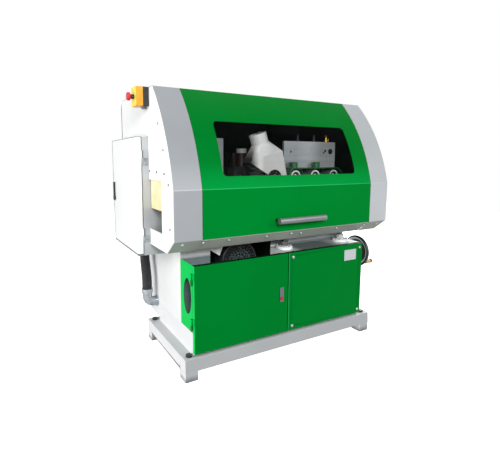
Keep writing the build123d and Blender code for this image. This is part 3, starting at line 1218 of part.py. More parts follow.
def feed_gearmotor():
    """Gear motor on the bed behind the outfeed frame, which drives the feed rollers' chain."""
    box = block(GEARBOX_X - GEARBOX_HALF, GEARBOX_X + GEARBOX_HALF, GEARBOX_Y - GEARBOX_HALF,
                GEARBOX_Y + GEARBOX_HALF, BED_TOP, BED_TOP + GEARBOX_H)
    box = fillet(box.edges().filter_by(Axis.Z), SHEET * 2)
    motor_z = BED_TOP + GEARBOX_H / 2
    x0 = GEARBOX_X + GEARBOX_HALF
    box += rod_x(x0, x0 + FEED_MOTOR_LENGTH, GEARBOX_Y, motor_z, FEED_MOTOR_R)
    y0 = GEARBOX_Y - GEARBOX_HALF
    box += rod_y(y0 - 3 * SPROCKET_T, y0, GEARBOX_X, motor_z, ROLLER_SHAFT_R)
    box += rod_y(y0 - 3 * SPROCKET_T, y0 - 2 * SPROCKET_T, GEARBOX_X, motor_z, SPROCKET_R)
    keep("feed_gearmotor", box)


def lift_table():
    """Outfeed table on two nuts, guided by the posts, with a grooved rail under the round stick."""
    top = TABLE_LOW_Z + TABLE_T
    table = block(TABLE_LEFT, TABLE_RIGHT, TABLE_FRONT, TABLE_BACK, TABLE_LOW_Z, top)
    table -= block(TABLE_LEFT, RAIL_LEFT, SPINDLE_FRONT - 2 * THIN_SHEET, TABLE_BACK, TABLE_LOW_Z, top)
    head_top = STICK_Z - GUIDE_LIP
    head_low = head_top - GUIDE_HEAD
    half_web = GUIDE_WEB / 2
    table += block(RAIL_LEFT, TABLE_RIGHT, STICK_Y - half_web, STICK_Y + half_web, top, head_low)
    table += block(RAIL_LEFT, TABLE_RIGHT, STICK_Y - GUIDE_HALF, STICK_Y + GUIDE_HALF, head_low, head_top)
    table -= rod_x(RAIL_LEFT, TABLE_RIGHT, STICK_Y, STICK_Z, STICK_R + SEAT_GAP)
    for x in (SCREW_LEFT_X, SCREW_RIGHT_X):
        table += rod_z(TABLE_LOW_Z - NUT_LENGTH, TABLE_LOW_Z, x, SCREW_Y, NUT_R)
        table -= rod_z(TABLE_LOW_Z - NUT_LENGTH, top, x, SCREW_Y, SCREW_R + RUN_FIT)
    for x in (POST_LEFT_X, POST_RIGHT_X):
        table -= rod_z(TABLE_LOW_Z, top, x, POST_Y, POST_R + RUN_FIT)
    keep("lift_table", table)


def mitre_gear(phase):
    """Mitre gear about +Z with its cone point at the origin."""
    pitch_r = MITRE_TEETH * MITRE_MODULE / 2
    big = gear_points(MITRE_TEETH, MITRE_MODULE, 1, phase)
    small = gear_points(MITRE_TEETH, MITRE_MODULE, MITRE_SHARE, phase)
    big_face = Plane.XY.offset(pitch_r) * make_face(Polyline(*big, close=True))
    small_face = Plane.XY.offset(pitch_r * MITRE_SHARE) * make_face(Polyline(*small, close=True))
    return loft([small_face, big_face], ruled=True)


def screw_drive():
    """Handwheel, cross shaft with two mitre gears, and two upright screws with theirs."""
    pitch_r = MITRE_TEETH * MITRE_MODULE / 2
    hub_end = WHEEL_X + WHEEL_HUB / 2
    shaft = rod_x(DIVIDER_X - BUSH_LENGTH, hub_end - SHEET, SCREW_Y, SHAFT_Z, SHAFT_R)
    for name, x in (("left_jackscrew", SCREW_LEFT_X), ("right_jackscrew", SCREW_RIGHT_X)):
        shaft += Pos(x, SCREW_Y, SHAFT_Z) * Rot(0, 90, 0) * mitre_gear(0)
        shaft += rod_x(x + pitch_r, x + pitch_r + MITRE_HUB, SCREW_Y, SHAFT_Z, pitch_r * MITRE_SHARE)
        gear_top = SHAFT_Z + pitch_r
        screw = Pos(x, SCREW_Y, SHAFT_Z) * mitre_gear(0.5)
        screw += rod_z(gear_top, SCREW_TOP_Z, x, SCREW_Y, SCREW_R)
        screw += rod_z(gear_top, gear_top + MITRE_HUB, x, SCREW_Y, pitch_r * MITRE_SHARE)
        keep(name, screw)
    keep("cross_shaft", shaft)

    wheel = Pos(WHEEL_X, SCREW_Y, SHAFT_Z) * Rot(0, 90, 0) * Torus(WHEEL_RIM_R, WHEEL_RIM_TUBE_R)
    wheel += rod_x(WHEEL_X - WHEEL_HUB / 2, hub_end, SCREW_Y, SHAFT_Z, WHEEL_HUB_R)
    wheel += rod_x(WHEEL_X, WHEEL_X + WHEEL_WEB, SCREW_Y, SHAFT_Z, WHEEL_RIM_R)
    grip_y = SCREW_Y + WHEEL_RIM_R * cos(radians(GRIP_ANGLE))
    grip_z = SHAFT_Z + WHEEL_RIM_R * sin(radians(GRIP_ANGLE))
    grip_x0 = WHEEL_X + WHEEL_RIM_TUBE_R + SEAT_GAP
    wheel += rod_x(WHEEL_X, grip_x0 + GRIP_LENGTH - SHEET, grip_y, grip_z, GRIP_PIN_R)
    wheel -= rod_x(WHEEL_X - WHEEL_HUB / 2, hub_end - SHEET, SCREW_Y, SHAFT_Z, SHAFT_R)
    keep("handwheel", wheel)
    grip = rod_x(grip_x0, grip_x0 + GRIP_LENGTH, grip_y, grip_z, GRIP_R)
    grip = fillet(grip.edges().sort_by(Axis.X)[-1], GRIP_R / 2)
    grip -= rod_x(grip_x0, grip_x0 + GRIP_LENGTH - SHEET + SEAT_GAP, grip_y, grip_z, GRIP_PIN_R + RUN_FIT)
    keep("crank_grip", grip)


def build():
    base_frame()
    levelling_bolts()
    column()
    rear_belt_guard()
    bed_plate()
    front_cabinet()
    hinge_halves = hinges()
    hood_body()
    cover(hinge_halves["cover"])
    bay_door(hinge_halves["door"])
    electrical_cabinet(hinge_halves["elec"])
    emergency_stop()
    conduit()
    motor()
    drive_belt()
    spindles()
    dust_chute()
    feed_rollers()
    outfeed_frame()
    infeed_parts(INFEED_LOW_Y + FLAP_SIDE_GAP, ELEC_LOW_Y - FLAP_SIDE_GAP)
    feed_gearmotor()
    lift_table()
    screw_drive()


build()
os.makedirs("parts", exist_ok=True)
for node_name, solids in nodes.items():
    placed = [Pos(-ORIGIN_X, -ORIGIN_Y, 0) * solid for solid in solids]
    export_step(Compound(children=placed) if len(placed) > 1 else placed[0], f"parts/{node_name}.step")
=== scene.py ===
import bpy
import math
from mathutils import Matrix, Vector


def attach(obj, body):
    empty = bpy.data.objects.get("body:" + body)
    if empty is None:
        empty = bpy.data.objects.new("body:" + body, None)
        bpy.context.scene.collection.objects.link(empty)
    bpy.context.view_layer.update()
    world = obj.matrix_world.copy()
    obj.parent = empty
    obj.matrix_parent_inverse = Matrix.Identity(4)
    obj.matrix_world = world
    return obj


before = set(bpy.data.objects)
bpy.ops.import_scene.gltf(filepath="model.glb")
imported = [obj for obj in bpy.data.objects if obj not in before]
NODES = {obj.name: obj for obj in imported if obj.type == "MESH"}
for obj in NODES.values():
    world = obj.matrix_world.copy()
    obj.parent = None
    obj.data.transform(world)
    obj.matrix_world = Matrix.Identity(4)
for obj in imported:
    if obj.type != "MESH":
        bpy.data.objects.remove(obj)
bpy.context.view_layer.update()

# Place of the machine's own centre lines in the record frame, in metres
OFF_X = 0.040
OFF_Y = -0.04825


def at(x, y, z):
    """Millimetres on the machine's centre lines to metres in the record frame."""
    return Vector((x / 1000 + OFF_X, y / 1000 + OFF_Y, z / 1000))


def linear(r, g, b):
    """Linear colour from sRGB levels of 0 to 255."""
    def one(c):
        c /= 255
        return c / 12.92 if c <= 0.04045 else ((c + 0.055) / 1.055) ** 2.4
    return (one(r), one(g), one(b), 1.0)


def shade(colour, factor):
    """The colour made darker or lighter."""
    return (colour[0] * factor, colour[1] * factor, colour[2] * factor, 1.0)


# Node helpers

FACING = 0.5


class Shader:
    """One material, built from object coordinates, which are metres in the record frame."""

    def __init__(self, name):
        self.mat = bpy.data.materials.new(name)
        self.mat.use_nodes = True
        self.tree = self.mat.node_tree
        self.bsdf = self.tree.nodes["Principled BSDF"]
        self.coords = self.tree.nodes.new("ShaderNodeTexCoord").outputs["Object"]
        self.places = None
        self.normals = None

    def node(self, kind, **values):
        made = self.tree.nodes.new(kind)
        for key, value in values.items():
            setattr(made, key, value)
        return made

    def link(self, a, b):
        self.tree.links.new(a, b)

    def feed(self, value, socket):
        """Links an output to a socket, or writes a plain value into it."""
        if isinstance(value, bpy.types.NodeSocket):
            self.link(value, socket)
        else:
            socket.default_value = value

    def axis(self, letter):
        if self.places is None:
            self.places = self.node("ShaderNodeSeparateXYZ")
            self.link(self.coords, self.places.inputs[0])
        return self.places.outputs[letter]

    def normal(self, letter):
        if self.normals is None:
            self.normals = self.node("ShaderNodeSeparateXYZ")
            self.link(self.node("ShaderNodeNewGeometry").outputs["Normal"], self.normals.inputs[0])
        return self.normals.outputs[letter]

    def math(self, operation, a, b=0.0):
        made = self.node("ShaderNodeMath", operation=operation)
        self.feed(a, made.inputs[0])
        self.feed(b, made.inputs[1])
        return made.outputs[0]

    def both(self, a, b):
        return self.math("MULTIPLY", a, b)

    def invert(self, value):
        return self.math("SUBTRACT", 1.0, value)

    def above(self, letter, limit):
        return self.math("GREATER_THAN", self.axis(letter), limit)

    def below(self, letter, limit):
        return self.math("LESS_THAN", self.axis(letter), limit)

    def within(self, letter, start, end):
        return self.both(self.above(letter, start), self.below(letter, end))

    def looks(self, letter, sign, least=FACING):
        """One where the face looks along the axis, or against it for a negative sign."""
        return self.math("GREATER_THAN", self.both(self.normal(letter), float(sign)), least)

    def reach(self, first, second):
        """Distance from a line, given as (axis, place) twice."""
        squares = []
        for letter, place in (first, second):
            off = self.math("SUBTRACT", self.axis(letter), place)
            squares.append(self.both(off, off))
        return self.math("SQRT", self.math("ADD", *squares))

    def ripple(self, value, pitch):
        return self.math("SINE", self.both(value, 2 * math.pi / pitch))

    def scaled(self, sx, sy, sz):
        made = self.node("ShaderNodeMapping")
        self.link(self.coords, made.inputs["Vector"])
        made.inputs["Scale"].default_value = (sx, sy, sz)
        return made.outputs[0]

    def noise(self, scale, detail=4.0, vector=None, roughness=0.55):
        made = self.node("ShaderNodeTexNoise")
        made.inputs["Scale"].default_value = scale
        made.inputs["Detail"].default_value = detail
        made.inputs["Roughness"].default_value = roughness
        self.link(vector or self.coords, made.inputs["Vector"])
        return made.outputs["Fac"]

    def span(self, value, low, high, from_low=0.3, from_high=0.7):
        """Value carried from one range to another and held at its ends."""
        made = self.node("ShaderNodeMapRange")
        made.inputs["From Min"].default_value = from_low
        made.inputs["From Max"].default_value = from_high
        made.inputs["To Min"].default_value = low
        made.inputs["To Max"].default_value = high
        self.link(value, made.inputs["Value"])
        return made.outputs["Result"]

    def rise(self, letter, start, end):
        """From nothing to one between two places on an axis."""
        return self.span(self.axis(letter), 0.0, 1.0, start, end)

    def fall(self, letter, start, end, top=1.0):
        """From top to nothing between two places on an axis."""
        return self.span(self.axis(letter), top, 0.0, start, end)

    def pick(self, kind, socket_type, factor, a, b):
        made = self.node("ShaderNodeMix", data_type=kind)
        self.link(factor, made.inputs["Factor"])
        for name, value in (("A", a), ("B", b)):
            self.feed(value, [s for s in made.inputs if s.name == name and s.type == socket_type][0])
        return [s for s in made.outputs if s.type == socket_type][0]

    def mix(self, factor, a, b):
        """Mix of two colours."""
        return self.pick("RGBA", "RGBA", factor, a, b)

    def blend(self, factor, a, b):
        """Mix of two plain numbers."""
        return self.pick("FLOAT", "VALUE", factor, a, b)

    def specks(self, scale, detail):
        """Noise spread over nothing to one."""
        return self.span(self.noise(scale, detail), 0.0, 1.0)

    def mottled(self, scale, detail, a, b):
        """Two colours mixed by a noise."""
        return self.mix(self.specks(scale, detail), a, b)

    def set(self, name, value):
        self.feed(value, self.bsdf.inputs[name])

    def rough(self, scale, detail, low, high):
        self.set("Roughness", self.span(self.noise(scale, detail), low, high))

    def bump(self, height, strength, distance=0.001):
        made = self.node("ShaderNodeBump")
        made.inputs["Strength"].default_value = strength
        made.inputs["Distance"].default_value = distance
        self.link(height, made.inputs["Height"])
        self.link(made.outputs[0], self.bsdf.inputs["Normal"])


# General finishes

PAINT_GLOSS = 0.12


def paint_colour(s, colour, spread=0.05):
    """Slow drift and fine mottling of one paint colour."""
    base = s.mottled(3.0, 3.0, shade(colour, 1 - spread), shade(colour, 1 + spread))
    marks = s.span(s.noise(45.0, 6.0, roughness=0.7), 0.0, 0.12, 0.62, 0.80)
    return s.mix(marks, base, shade(colour, 0.72))


def inner_shade_colour(s):
    """Near black painted shade on the sheets' inner faces."""
    return s.mottled(260.0, 3.0, linear(4, 4, 5), linear(14, 14, 15))


def powder_coat(s, base, rough=0.42, gloss=PAINT_GLOSS):
    """Closes a painted material with the fine orange peel of a powder coat."""
    s.set("Base Color", base)
    s.set("Specular IOR Level", gloss)
    s.rough(14.0, 4.0, rough - 0.06, rough + 0.08)
    s.bump(s.noise(950.0, 2.0), 0.05, 0.0004)
    return s.mat


def turned_up(s):
    """From nothing on an upright sheet to one where it leans back under the roof."""
    return s.span(s.normal("Z"), 0.0, 1.0, 0.05, 0.45)


def paint(name, colour, rough=0.42, spread=0.05, inner_shade=None, lit=None, crown=None, fold=None, edges=(),
          sheen=None, gloss=PAINT_GLOSS):
    """Powder coat on sheet.

    The first option is the (axis, sign) that an inner face looks along, and such faces take a near black
    painted shade. lit is the colour of faces that look left, into the key light. The third option is the darker
    colour, a painted shade, that a bent sheet takes on as it turns up. fold is the (height, reach, colour) of
    the paler band of painted light over a fold. edges lists (axis, from, to, colour) bands, such as the painted
    shadow and the painted glint of a folded edge.
    """
    s = Shader(name)
    base = paint_colour(s, colour, spread)
    # near black painted shade on the faces that look inward
    if inner_shade:
        base = s.mix(s.looks(*inner_shade), base, inner_shade_colour(s))
    if lit:
        base = s.mix(s.looks("X", -1), base, paint_colour(s, lit, spread))
    # painted shade where the sheet turns up
    if crown:
        base = s.mix(turned_up(s), base, paint_colour(s, crown, spread))
    # a paler band of painted light above the fold, fading out upwards
    if fold:
        height, reach, glow = fold
        fold_light = s.both(s.above("Z", height), s.fall("Z", height, height + reach))
        base = s.mix(fold_light, base, paint_colour(s, glow, spread))
    for letter, start, end, band in edges:
        base = s.mix(s.within(letter, start, end), base, band)
    if sheen:
        s.set("Specular Tint", sheen)
    return powder_coat(s, base, rough, gloss)


def bay_paint(name, colour, inside, start, end):
    """White outside, with painted shade on each face that looks into the bay.

    inside lists (normal axis, sign, low colour, high colour), and the shade passes from low to high between
    the heights start and end.
    """
    s = Shader(name)
    base = paint_colour(s, colour)
    rise = s.rise("Z", start, end)
    mottle = s.specks(70.0, 4.0)
    for letter, sign, low, high in inside:
        under = s.mix(mottle, shade(low, 0.90), shade(low, 1.10))
        over = s.mix(mottle, shade(high, 0.95), shade(high, 1.05))
        base = s.mix(s.looks(letter, sign), base, s.mix(rise, under, over))
    return powder_coat(s, base)


def sheet_edges(name, colour, line, edges):
    """Painted sheet with a grey painted shadow line along its folded edges: edges lists (axis, sign, place)."""
    s = Shader(name)
    base = paint_colour(s, colour, 0.03)
    for letter, sign, place in edges:
        past = s.above(letter, place) if sign > 0 else s.below(letter, place)
        base = s.mix(past, base, line)
    return powder_coat(s, base, 0.40)


EVEN_GRAIN = (60.0, 60.0, 60.0)


def steel(name, colour, rough=0.32, along=(4.0, 400.0, 400.0), spread=0.12, metal=1.0, gloss=0.5):
    """Machined or brushed steel: streaks along one axis."""
    s = Shader(name)
    streak = s.noise(1.0, 3.0, s.scaled(*along))
    s.set("Base Color", s.mix(s.span(streak, 0.0, 1.0), shade(colour, 1 - spread), shade(colour, 1 + spread)))
    s.set("Metallic", metal)
    s.set("Specular IOR Level", gloss)
    s.set("Roughness", s.span(streak, rough - 0.08, rough + 0.12))
    s.bump(streak, 0.06, 0.0003)
    return s.mat


def plastic(name, colour, rough=0.45, grain=700.0, strength=0.08):
    s = Shader(name)
    s.set("Base Color", s.mottled(12.0, 4.0, shade(colour, 0.90), shade(colour, 1.08)))
    s.rough(40.0, 3.0, rough - 0.06, rough + 0.08)
    s.bump(s.noise(grain, 2.0), strength, 0.0004)
    return s.mat


def split_plastic(name, letter, limit, low, high):
    """Moulded plastic in two colours, below and above a place along an axis."""
    s = Shader(name)
    drift = s.specks(12.0, 4.0)
    first = s.mix(drift, shade(low, 0.92), shade(low, 1.08))
    second = s.mix(drift, shade(high, 0.92), shade(high, 1.08))
    s.set("Base Color", s.mix(s.above(letter, limit), first, second))
    s.rough(40.0, 3.0, 0.30, 0.46)
    s.bump(s.noise(600.0, 2.0), 0.06, 0.0004)
    return s.mat


def cast(name, colour, rough=0.5):
    """Painted or bare casting with a coarse skin."""
    s = Shader(name)
    s.set("Base Color", paint_colour(s, colour, 0.10))
    s.rough(30.0, 5.0, rough - 0.1, rough + 0.12)
    s.bump(s.noise(330.0, 6.0), 0.22, 0.0006)
    return s.mat


# Colours and heights that several pieces share

GREEN = linear(0, 130, 45)
GREEN_LIT = linear(0, 212, 92)
GREY = linear(183, 187, 189)
WHITE = linear(244, 245, 246)
LIT_WHITE = linear(250, 251, 251)
MOULDED_WHITE = linear(243, 244, 243)
LIP_GREY = linear(186, 193, 183)
# Near black painted shade for the faces that look into the motor bay
BAY_SHADE = linear(20, 21, 22)
# Dark green painted shade on the divider's front, seen through the door seam
DIVIDER_SHADE = linear(0, 60, 24)
# Painted shadow in the door seam, and a painted highlight on the panel's edge beside it
SEAM_SHADOW = linear(0, 34, 14)
SEAM_GLINT = linear(40, 176, 88)

# Knee of the cover and strips: a thin painted highlight, with a paler band of painted light that fades out over
# it
FOLD_LOW, FOLD_HIGH, FOLD_REACH = 0.7575, 0.7605, 0.10

# Painted shadow in the seam between the bay door and the fixed panel and along their top edge, with a painted
# highlight on the panel's edge by the seam
SEAM_X = OFF_X - 0.006
TOP_EDGE_SHADOW = ("Z", 0.4616, 1.0, SEAM_SHADOW)


def green_paint(name, colour=GREEN, **more):
    return paint(name, colour, 0.38, 0.04, sheen=(0.10, 1.0, 0.35, 1.0), gloss=0.03, **more)


# Finishes of single pieces

def column_paint_and_shade():
    """White column, with painted light and painted shade on its front over the top plate, where the bed shades
    it, and near black painted shade on the face towards the motor bay.
    """
    s = Shader("column coat")
    # painted light low on the left of the front, painted shade low on the right and high on the left
    low = s.mix(s.rise("X", 0.055, 0.095), LIT_WHITE, linear(143, 150, 150))
    high = s.mix(s.rise("X", 0.075, 0.150), linear(142, 145, 142), linear(222, 225, 227))
    front = s.mix(s.rise("Z", 0.470, 0.477), low, high)
    mottle = s.specks(70.0, 4.0)
    front = s.mix(s.both(mottle, 0.08), front, BAY_SHADE)
    # near black painted shade on the face towards the motor bay
    bay = s.mix(mottle, shade(BAY_SHADE, 0.90), shade(BAY_SHADE, 1.10))
    base = s.mix(s.looks("Y", -1), paint_colour(s, WHITE), front)
    return powder_coat(s, s.mix(s.looks("X", -1), base, bay))


def strip_paint():
    """Front strips: painted shade keeps the left one darker and cooler than the right one; paler underneath;
    painted shade where they turn up, and painted light and a painted highlight over the fold.
    """
    s = Shader("grey strip")
    # painted shade makes the left strip darker than the right one
    right = s.above("X", 0.0)
    front = s.mix(right, paint_colour(s, linear(166, 170, 174)), paint_colour(s, linear(198, 202, 206)))
    # painted shade where the strips turn up
    turned_up_shade = s.mix(right, paint_colour(s, linear(150, 154, 158)), paint_colour(s, linear(176, 181, 184)))
    base = s.mix(turned_up(s), front, turned_up_shade)
    base = s.mix(s.looks("Z", -1, 0.3), base, paint_colour(s, LIP_GREY))
    # a paler band of painted light above the fold
    fold_light = s.both(s.above("Z", FOLD_HIGH), s.fall("Z", FOLD_HIGH, FOLD_HIGH + FOLD_REACH, 0.6))
    base = s.mix(fold_light, base, linear(186, 190, 194))
    # a painted highlight along the fold
    return powder_coat(s, s.mix(s.within("Z", FOLD_LOW, FOLD_HIGH), base, linear(198, 202, 205)))


def base_paint():
    """Base rails: painted light on the faces that look left and up, a painted shadow along the lower edge of
    the left rail, and painted shade on the feet that darkens towards the floor.
    """
    s = Shader("white base coat")
    left = s.looks("X", -1)
    # painted light on the faces that look left
    base = s.mix(left, paint_colour(s, linear(186, 189, 191)), paint_colour(s, linear(243, 244, 245), 0.03))
    # painted light on the top faces
    base = s.mix(s.looks("Z", 1), base, paint_colour(s, linear(198, 201, 202)))
    # painted shadow along the lower edge of the left rail
    lower_edge_shadow = s.both(s.fall("Z", 0.0415, 0.0470), s.above("Z", 0.0385))
    from_middle = s.math("ABSOLUTE", s.math("SUBTRACT", s.axis("Y"), OFF_Y))
    lower_edge_shadow = s.both(lower_edge_shadow, s.math("LESS_THAN", from_middle, 0.180))
    base = s.mix(s.both(left, lower_edge_shadow), base, linear(104, 105, 107))
    # painted shade on the feet, darker towards the floor
    foot_shade = s.both(s.fall("Z", 0.001, 0.026), s.span(s.noise(60.0, 5.0), 0.55, 1.0))
    return powder_coat(s, s.mix(foot_shade, base, linear(74, 75, 77)), 0.40)


def roof_paint():
    """Roof and back sheet: painted outside, with near black painted shade on its inner faces."""
    s = Shader("roof sheet with lining")
    inside = s.both(s.looks("Y", -1), s.below("Z", 1.149))
    inner = s.math("MAXIMUM", s.looks("Z", -1), inside)
    return powder_coat(s, s.mix(inner, paint_colour(s, GREY), inner_shade_colour(s)))


def window_glass():
    """Clear sheet, a little smoky, with faint wipe marks."""
    s = Shader("clear window sheet")
    s.set("Base Color", s.mottled(5.0, 4.0, linear(16, 19, 19), linear(36, 40, 40)))
    s.rough(9.0, 5.0, 0.03, 0.10)
    s.set("Alpha", s.span(s.noise(6.0, 5.0, s.scaled(1.0, 1.0, 5.0)), 0.05, 0.10))
    s.set("IOR", 1.45)
    s.set("Specular IOR Level", 0.1)
    return s.mat


def wheel_paint_and_reflection(y, z):
    """Handwheel: black web and rim, with the polished inner wall of the rim and the hub painted near white as a
    painted reflection.
    """
    s = Shader("handwheel paint and reflection")
    reach = s.reach(("Y", y), ("Z", z))
    past_web = s.span(reach, 0.0, 1.0, 0.0600, 0.0615)
    before_rim = s.span(reach, 1.0, 0.0, 0.0720, 0.0735)
    hub = s.span(reach, 1.0, 0.0, 0.0165, 0.0175)
    metal = s.math("MAXIMUM", s.both(past_web, before_rim), hub)
    speck = s.specks(400.0, 3.0)
    rim = s.mix(speck, linear(11, 11, 12), linear(24, 24, 26))
    web = s.mix(speck, linear(58, 60, 62), linear(84, 86, 89))
    # near white painted reflection of the polished metal
    bare = s.mix(speck, linear(236, 238, 239), linear(252, 252, 252))
    s.set("Base Color", s.mix(metal, s.mix(past_web, web, rim), bare))
    s.set("Roughness", s.blend(metal, 0.30, 0.28))
    s.bump(s.noise(600.0, 2.0), 0.08, 0.0004)
    return s.mat


def grip_finish():
    """Crank grip: a brass pin with a dark turned handle."""
    s = Shader("grip finish")
    pin = linear(214, 176, 128)
    handle = linear(34, 30, 28)
    speck = s.specks(60.0, 5.0)
    past_pin = s.above("X", OFF_X + 0.543)
    s.set("Base Color", s.mix(past_pin, s.mix(speck, shade(pin, 0.86), shade(pin, 1.10)),
                              s.mix(speck, shade(handle, 0.86), shade(handle, 1.10))))
    s.set("Metallic", s.blend(past_pin, 0.35, 0.0))
    s.rough(30.0, 4.0, 0.26, 0.44)
    s.bump(s.noise(420.0, 4.0), 0.12, 0.0005)
    return s.mat


def handle_finish():
    """Cover handle: a satin steel tube on black brackets."""
    s = Shader("handle finish")
    streak = s.noise(1.0, 3.0, s.scaled(6.0, 300.0, 300.0))
    tube = s.mix(s.span(streak, 0.0, 1.0), linear(112, 114, 116), linear(138, 140, 142))
    bracket = s.above("Y", OFF_Y - 0.2905)
    s.set("Base Color", s.mix(bracket, tube, linear(18, 18, 19)))
    s.set("Metallic", s.blend(bracket, 0.75, 0.0))
    s.set("Roughness", s.span(streak, 0.34, 0.44))
    return s.mat


def fan_grid(x, z):
    """Dark fan cover: a pressed grid round its centre, plain rings outside it and ribs round its side, with
    painted shade darkening their hollows.
    """
    s = Shader("fan cover grid")

    def from_wire(letter, pitch):
        part = s.math("FRACT", s.math("DIVIDE", s.axis(letter), pitch))
        return s.math("ABSOLUTE", s.math("SUBTRACT", part, 0.5))

    reach = s.reach(("X", x), ("Z", z))
    wire = s.span(s.math("MAXIMUM", from_wire("X", 0.0114), from_wire("Z", 0.0076)), 0.0, 1.0, 0.30, 0.42)
    rings = s.span(s.ripple(reach, 0.012), 0.0, 0.45, 0.4, 0.9)
    pressed = s.blend(s.span(reach, 0.0, 1.0, 0.056, 0.058), wire, rings)
    ribs = s.span(s.ripple(s.axis("Y"), 0.011), 0.0, 0.6, -0.4, 0.6)
    height = s.blend(s.looks("Y", -1, 0.6), ribs, pressed)
    speck = s.specks(80.0, 3.0)
    low = s.mix(speck, linear(12, 15, 16), linear(22, 26, 28))
    high = s.mix(speck, linear(78, 90, 93), linear(104, 116, 119))
    # painted shade in the hollows, paler on the raised parts
    s.set("Base Color", s.mix(height, low, high))
    s.rough(60.0, 3.0, 0.34, 0.52)
    s.bump(height, 0.2, 0.0012)
    return s.mat


def bed_finish():
    """Planed casting, with the deflector sheet in front of it painted white."""
    s = Shader("bed and deflector")
    iron = s.mottled(90.0, 5.0, linear(62, 64, 67), linear(88, 90, 93))
    sheet = s.below("Y", OFF_Y - 0.0952)
    s.set("Base Color", s.mix(sheet, iron, paint_colour(s, linear(248, 249, 249), 0.03)))
    s.rough(30.0, 4.0, 0.38, 0.55)
    s.bump(s.noise(330.0, 5.0), 0.12, 0.0005)
    return s.mat


def hinge_finish():
    """Hinge halves: zinc on the cabinet and roof, dark green paint on the bay door."""
    s = Shader("hinge finish")
    low = s.below("Z", 0.47)
    speck = s.specks(70.0, 4.0)
    bright = s.mix(speck, linear(128, 132, 135), linear(176, 181, 184))
    painted = s.mix(speck, linear(0, 84, 34), linear(6, 104, 42))
    s.set("Base Color", s.mix(low, bright, painted))
    s.set("Metallic", s.blend(low, 0.4, 0.0))
    s.rough(50.0, 4.0, 0.28, 0.44)
    s.bump(s.noise(500.0, 3.0), 0.08, 0.0003)
    return s.mat


def stop_cover_paint_and_shade():
    """Emergency stop's cover: yellow, painted pale on the front face, which looks left into the light, and
    orange on the sides as painted shade.
    """
    s = Shader("emergency stop cover")
    drift = s.specks(12.0, 4.0)
    side = s.mix(drift, linear(240, 160, 30), linear(248, 176, 46))
    face = s.mix(drift, linear(250, 222, 40), linear(255, 236, 66))
    # painted light on the face that looks left, painted shade on the other sides
    s.set("Base Color", s.mix(s.looks("X", -1), side, face))
    s.rough(40.0, 3.0, 0.26, 0.40)
    s.bump(s.noise(500.0, 2.0), 0.04, 0.0004)
    return s.mat


def unit_finish():
    """Roller unit: dark block and guide bar, brown spring barrel, grey cap."""
    s = Shader("pressure unit finish")
    mottle = s.specks(60.0, 5.0)
    block = s.mix(mottle, linear(18, 19, 20), linear(32, 33, 35))
    brown = s.mix(mottle, linear(30, 19, 14), linear(42, 28, 21))
    cap = s.mix(mottle, linear(138, 138, 139), linear(164, 164, 165))
    barrel = s.mix(s.above("Z", 0.900), brown, cap)
    in_barrel = s.both(s.above("Z", 0.838), s.above("X", OFF_X - 0.146))
    s.set("Base Color", s.mix(in_barrel, block, barrel))
    s.set("Specular IOR Level", PAINT_GLOSS)
    s.rough(30.0, 4.0, 0.34, 0.52)
    s.bump(s.noise(420.0, 4.0), 0.12, 0.0005)
    return s.mat


def switchgear_finish():
    """Galvanised plate, dark breaker, pale contactors with dark fronts, grey drives, slotted terminal row."""
    s = Shader("switchgear finish")
    mottle = s.specks(40.0, 4.0)
    plate = s.mix(mottle, linear(176, 182, 186), linear(204, 209, 212))
    breaker = s.mix(mottle, linear(38, 40, 42), linear(50, 52, 54))
    pale_case = s.mix(mottle, linear(206, 207, 203), linear(222, 223, 219))
    drives = s.mix(mottle, linear(120, 125, 129), linear(138, 143, 147))
    slots = s.math("GREATER_THAN", s.ripple(s.axis("Y"), 0.0062), 0.4)
    terminals = s.mix(slots, linear(198, 192, 172), linear(58, 60, 62))
    contactors = s.mix(s.below("X", -0.4945), pale_case, breaker)
    upper = s.mix(s.above("Y", 0.097), breaker, contactors)
    lower = s.mix(s.above("Z", 0.617), terminals, drives)
    cases = s.mix(s.above("Z", 0.730), lower, upper)
    s.set("Base Color", s.mix(s.above("X", -0.4345), cases, plate))
    s.rough(50.0, 3.0, 0.34, 0.50)
    s.bump(s.noise(520.0, 3.0), 0.06, 0.0004)
    return s.mat


def chute_finish():
    """White moulding, with the soft shade on its left flank, its lower front and the right of its neck."""
    s = Shader("chute moulding")
    fold_x, fold_z, fold_slope = OFF_X + 0.031, 0.909, 0.261
    base = s.mottled(12.0, 4.0, shade(MOULDED_WHITE, 0.95), shade(MOULDED_WHITE, 1.03))
    fold = s.math("ADD", s.both(s.math("SUBTRACT", s.axis("X"), fold_x), fold_slope), fold_z)
    under_fold = s.span(s.math("SUBTRACT", fold, s.axis("Z")), 0.0, 1.0, -0.001, 0.003)
    lower = s.both(under_fold, s.rise("X", OFF_X - 0.072, OFF_X - 0.056))
    turned_away = s.both(s.rise("X", OFF_X - 0.050, OFF_X - 0.005), s.invert(under_fold))
    neck = s.both(s.rise("X", OFF_X - 0.078, OFF_X - 0.046), s.rise("Z", 0.938, 0.950))
    dim = s.math("MAXIMUM", s.math("MAXIMUM", lower, turned_away), neck)
    base = s.mix(dim, base, shade(MOULDED_WHITE, 0.74))
    flank = s.both(s.fall("X", OFF_X - 0.120, OFF_X - 0.084), s.fall("Z", 0.900, 0.932))
    s.set("Base Color", s.mix(flank, base, shade(MOULDED_WHITE, 0.07)))
    s.rough(40.0, 3.0, 0.36, 0.50)
    s.bump(s.noise(260.0, 2.0), 0.10, 0.0004)
    return s.mat


ROLLED = (3.0, 160.0, 160.0)


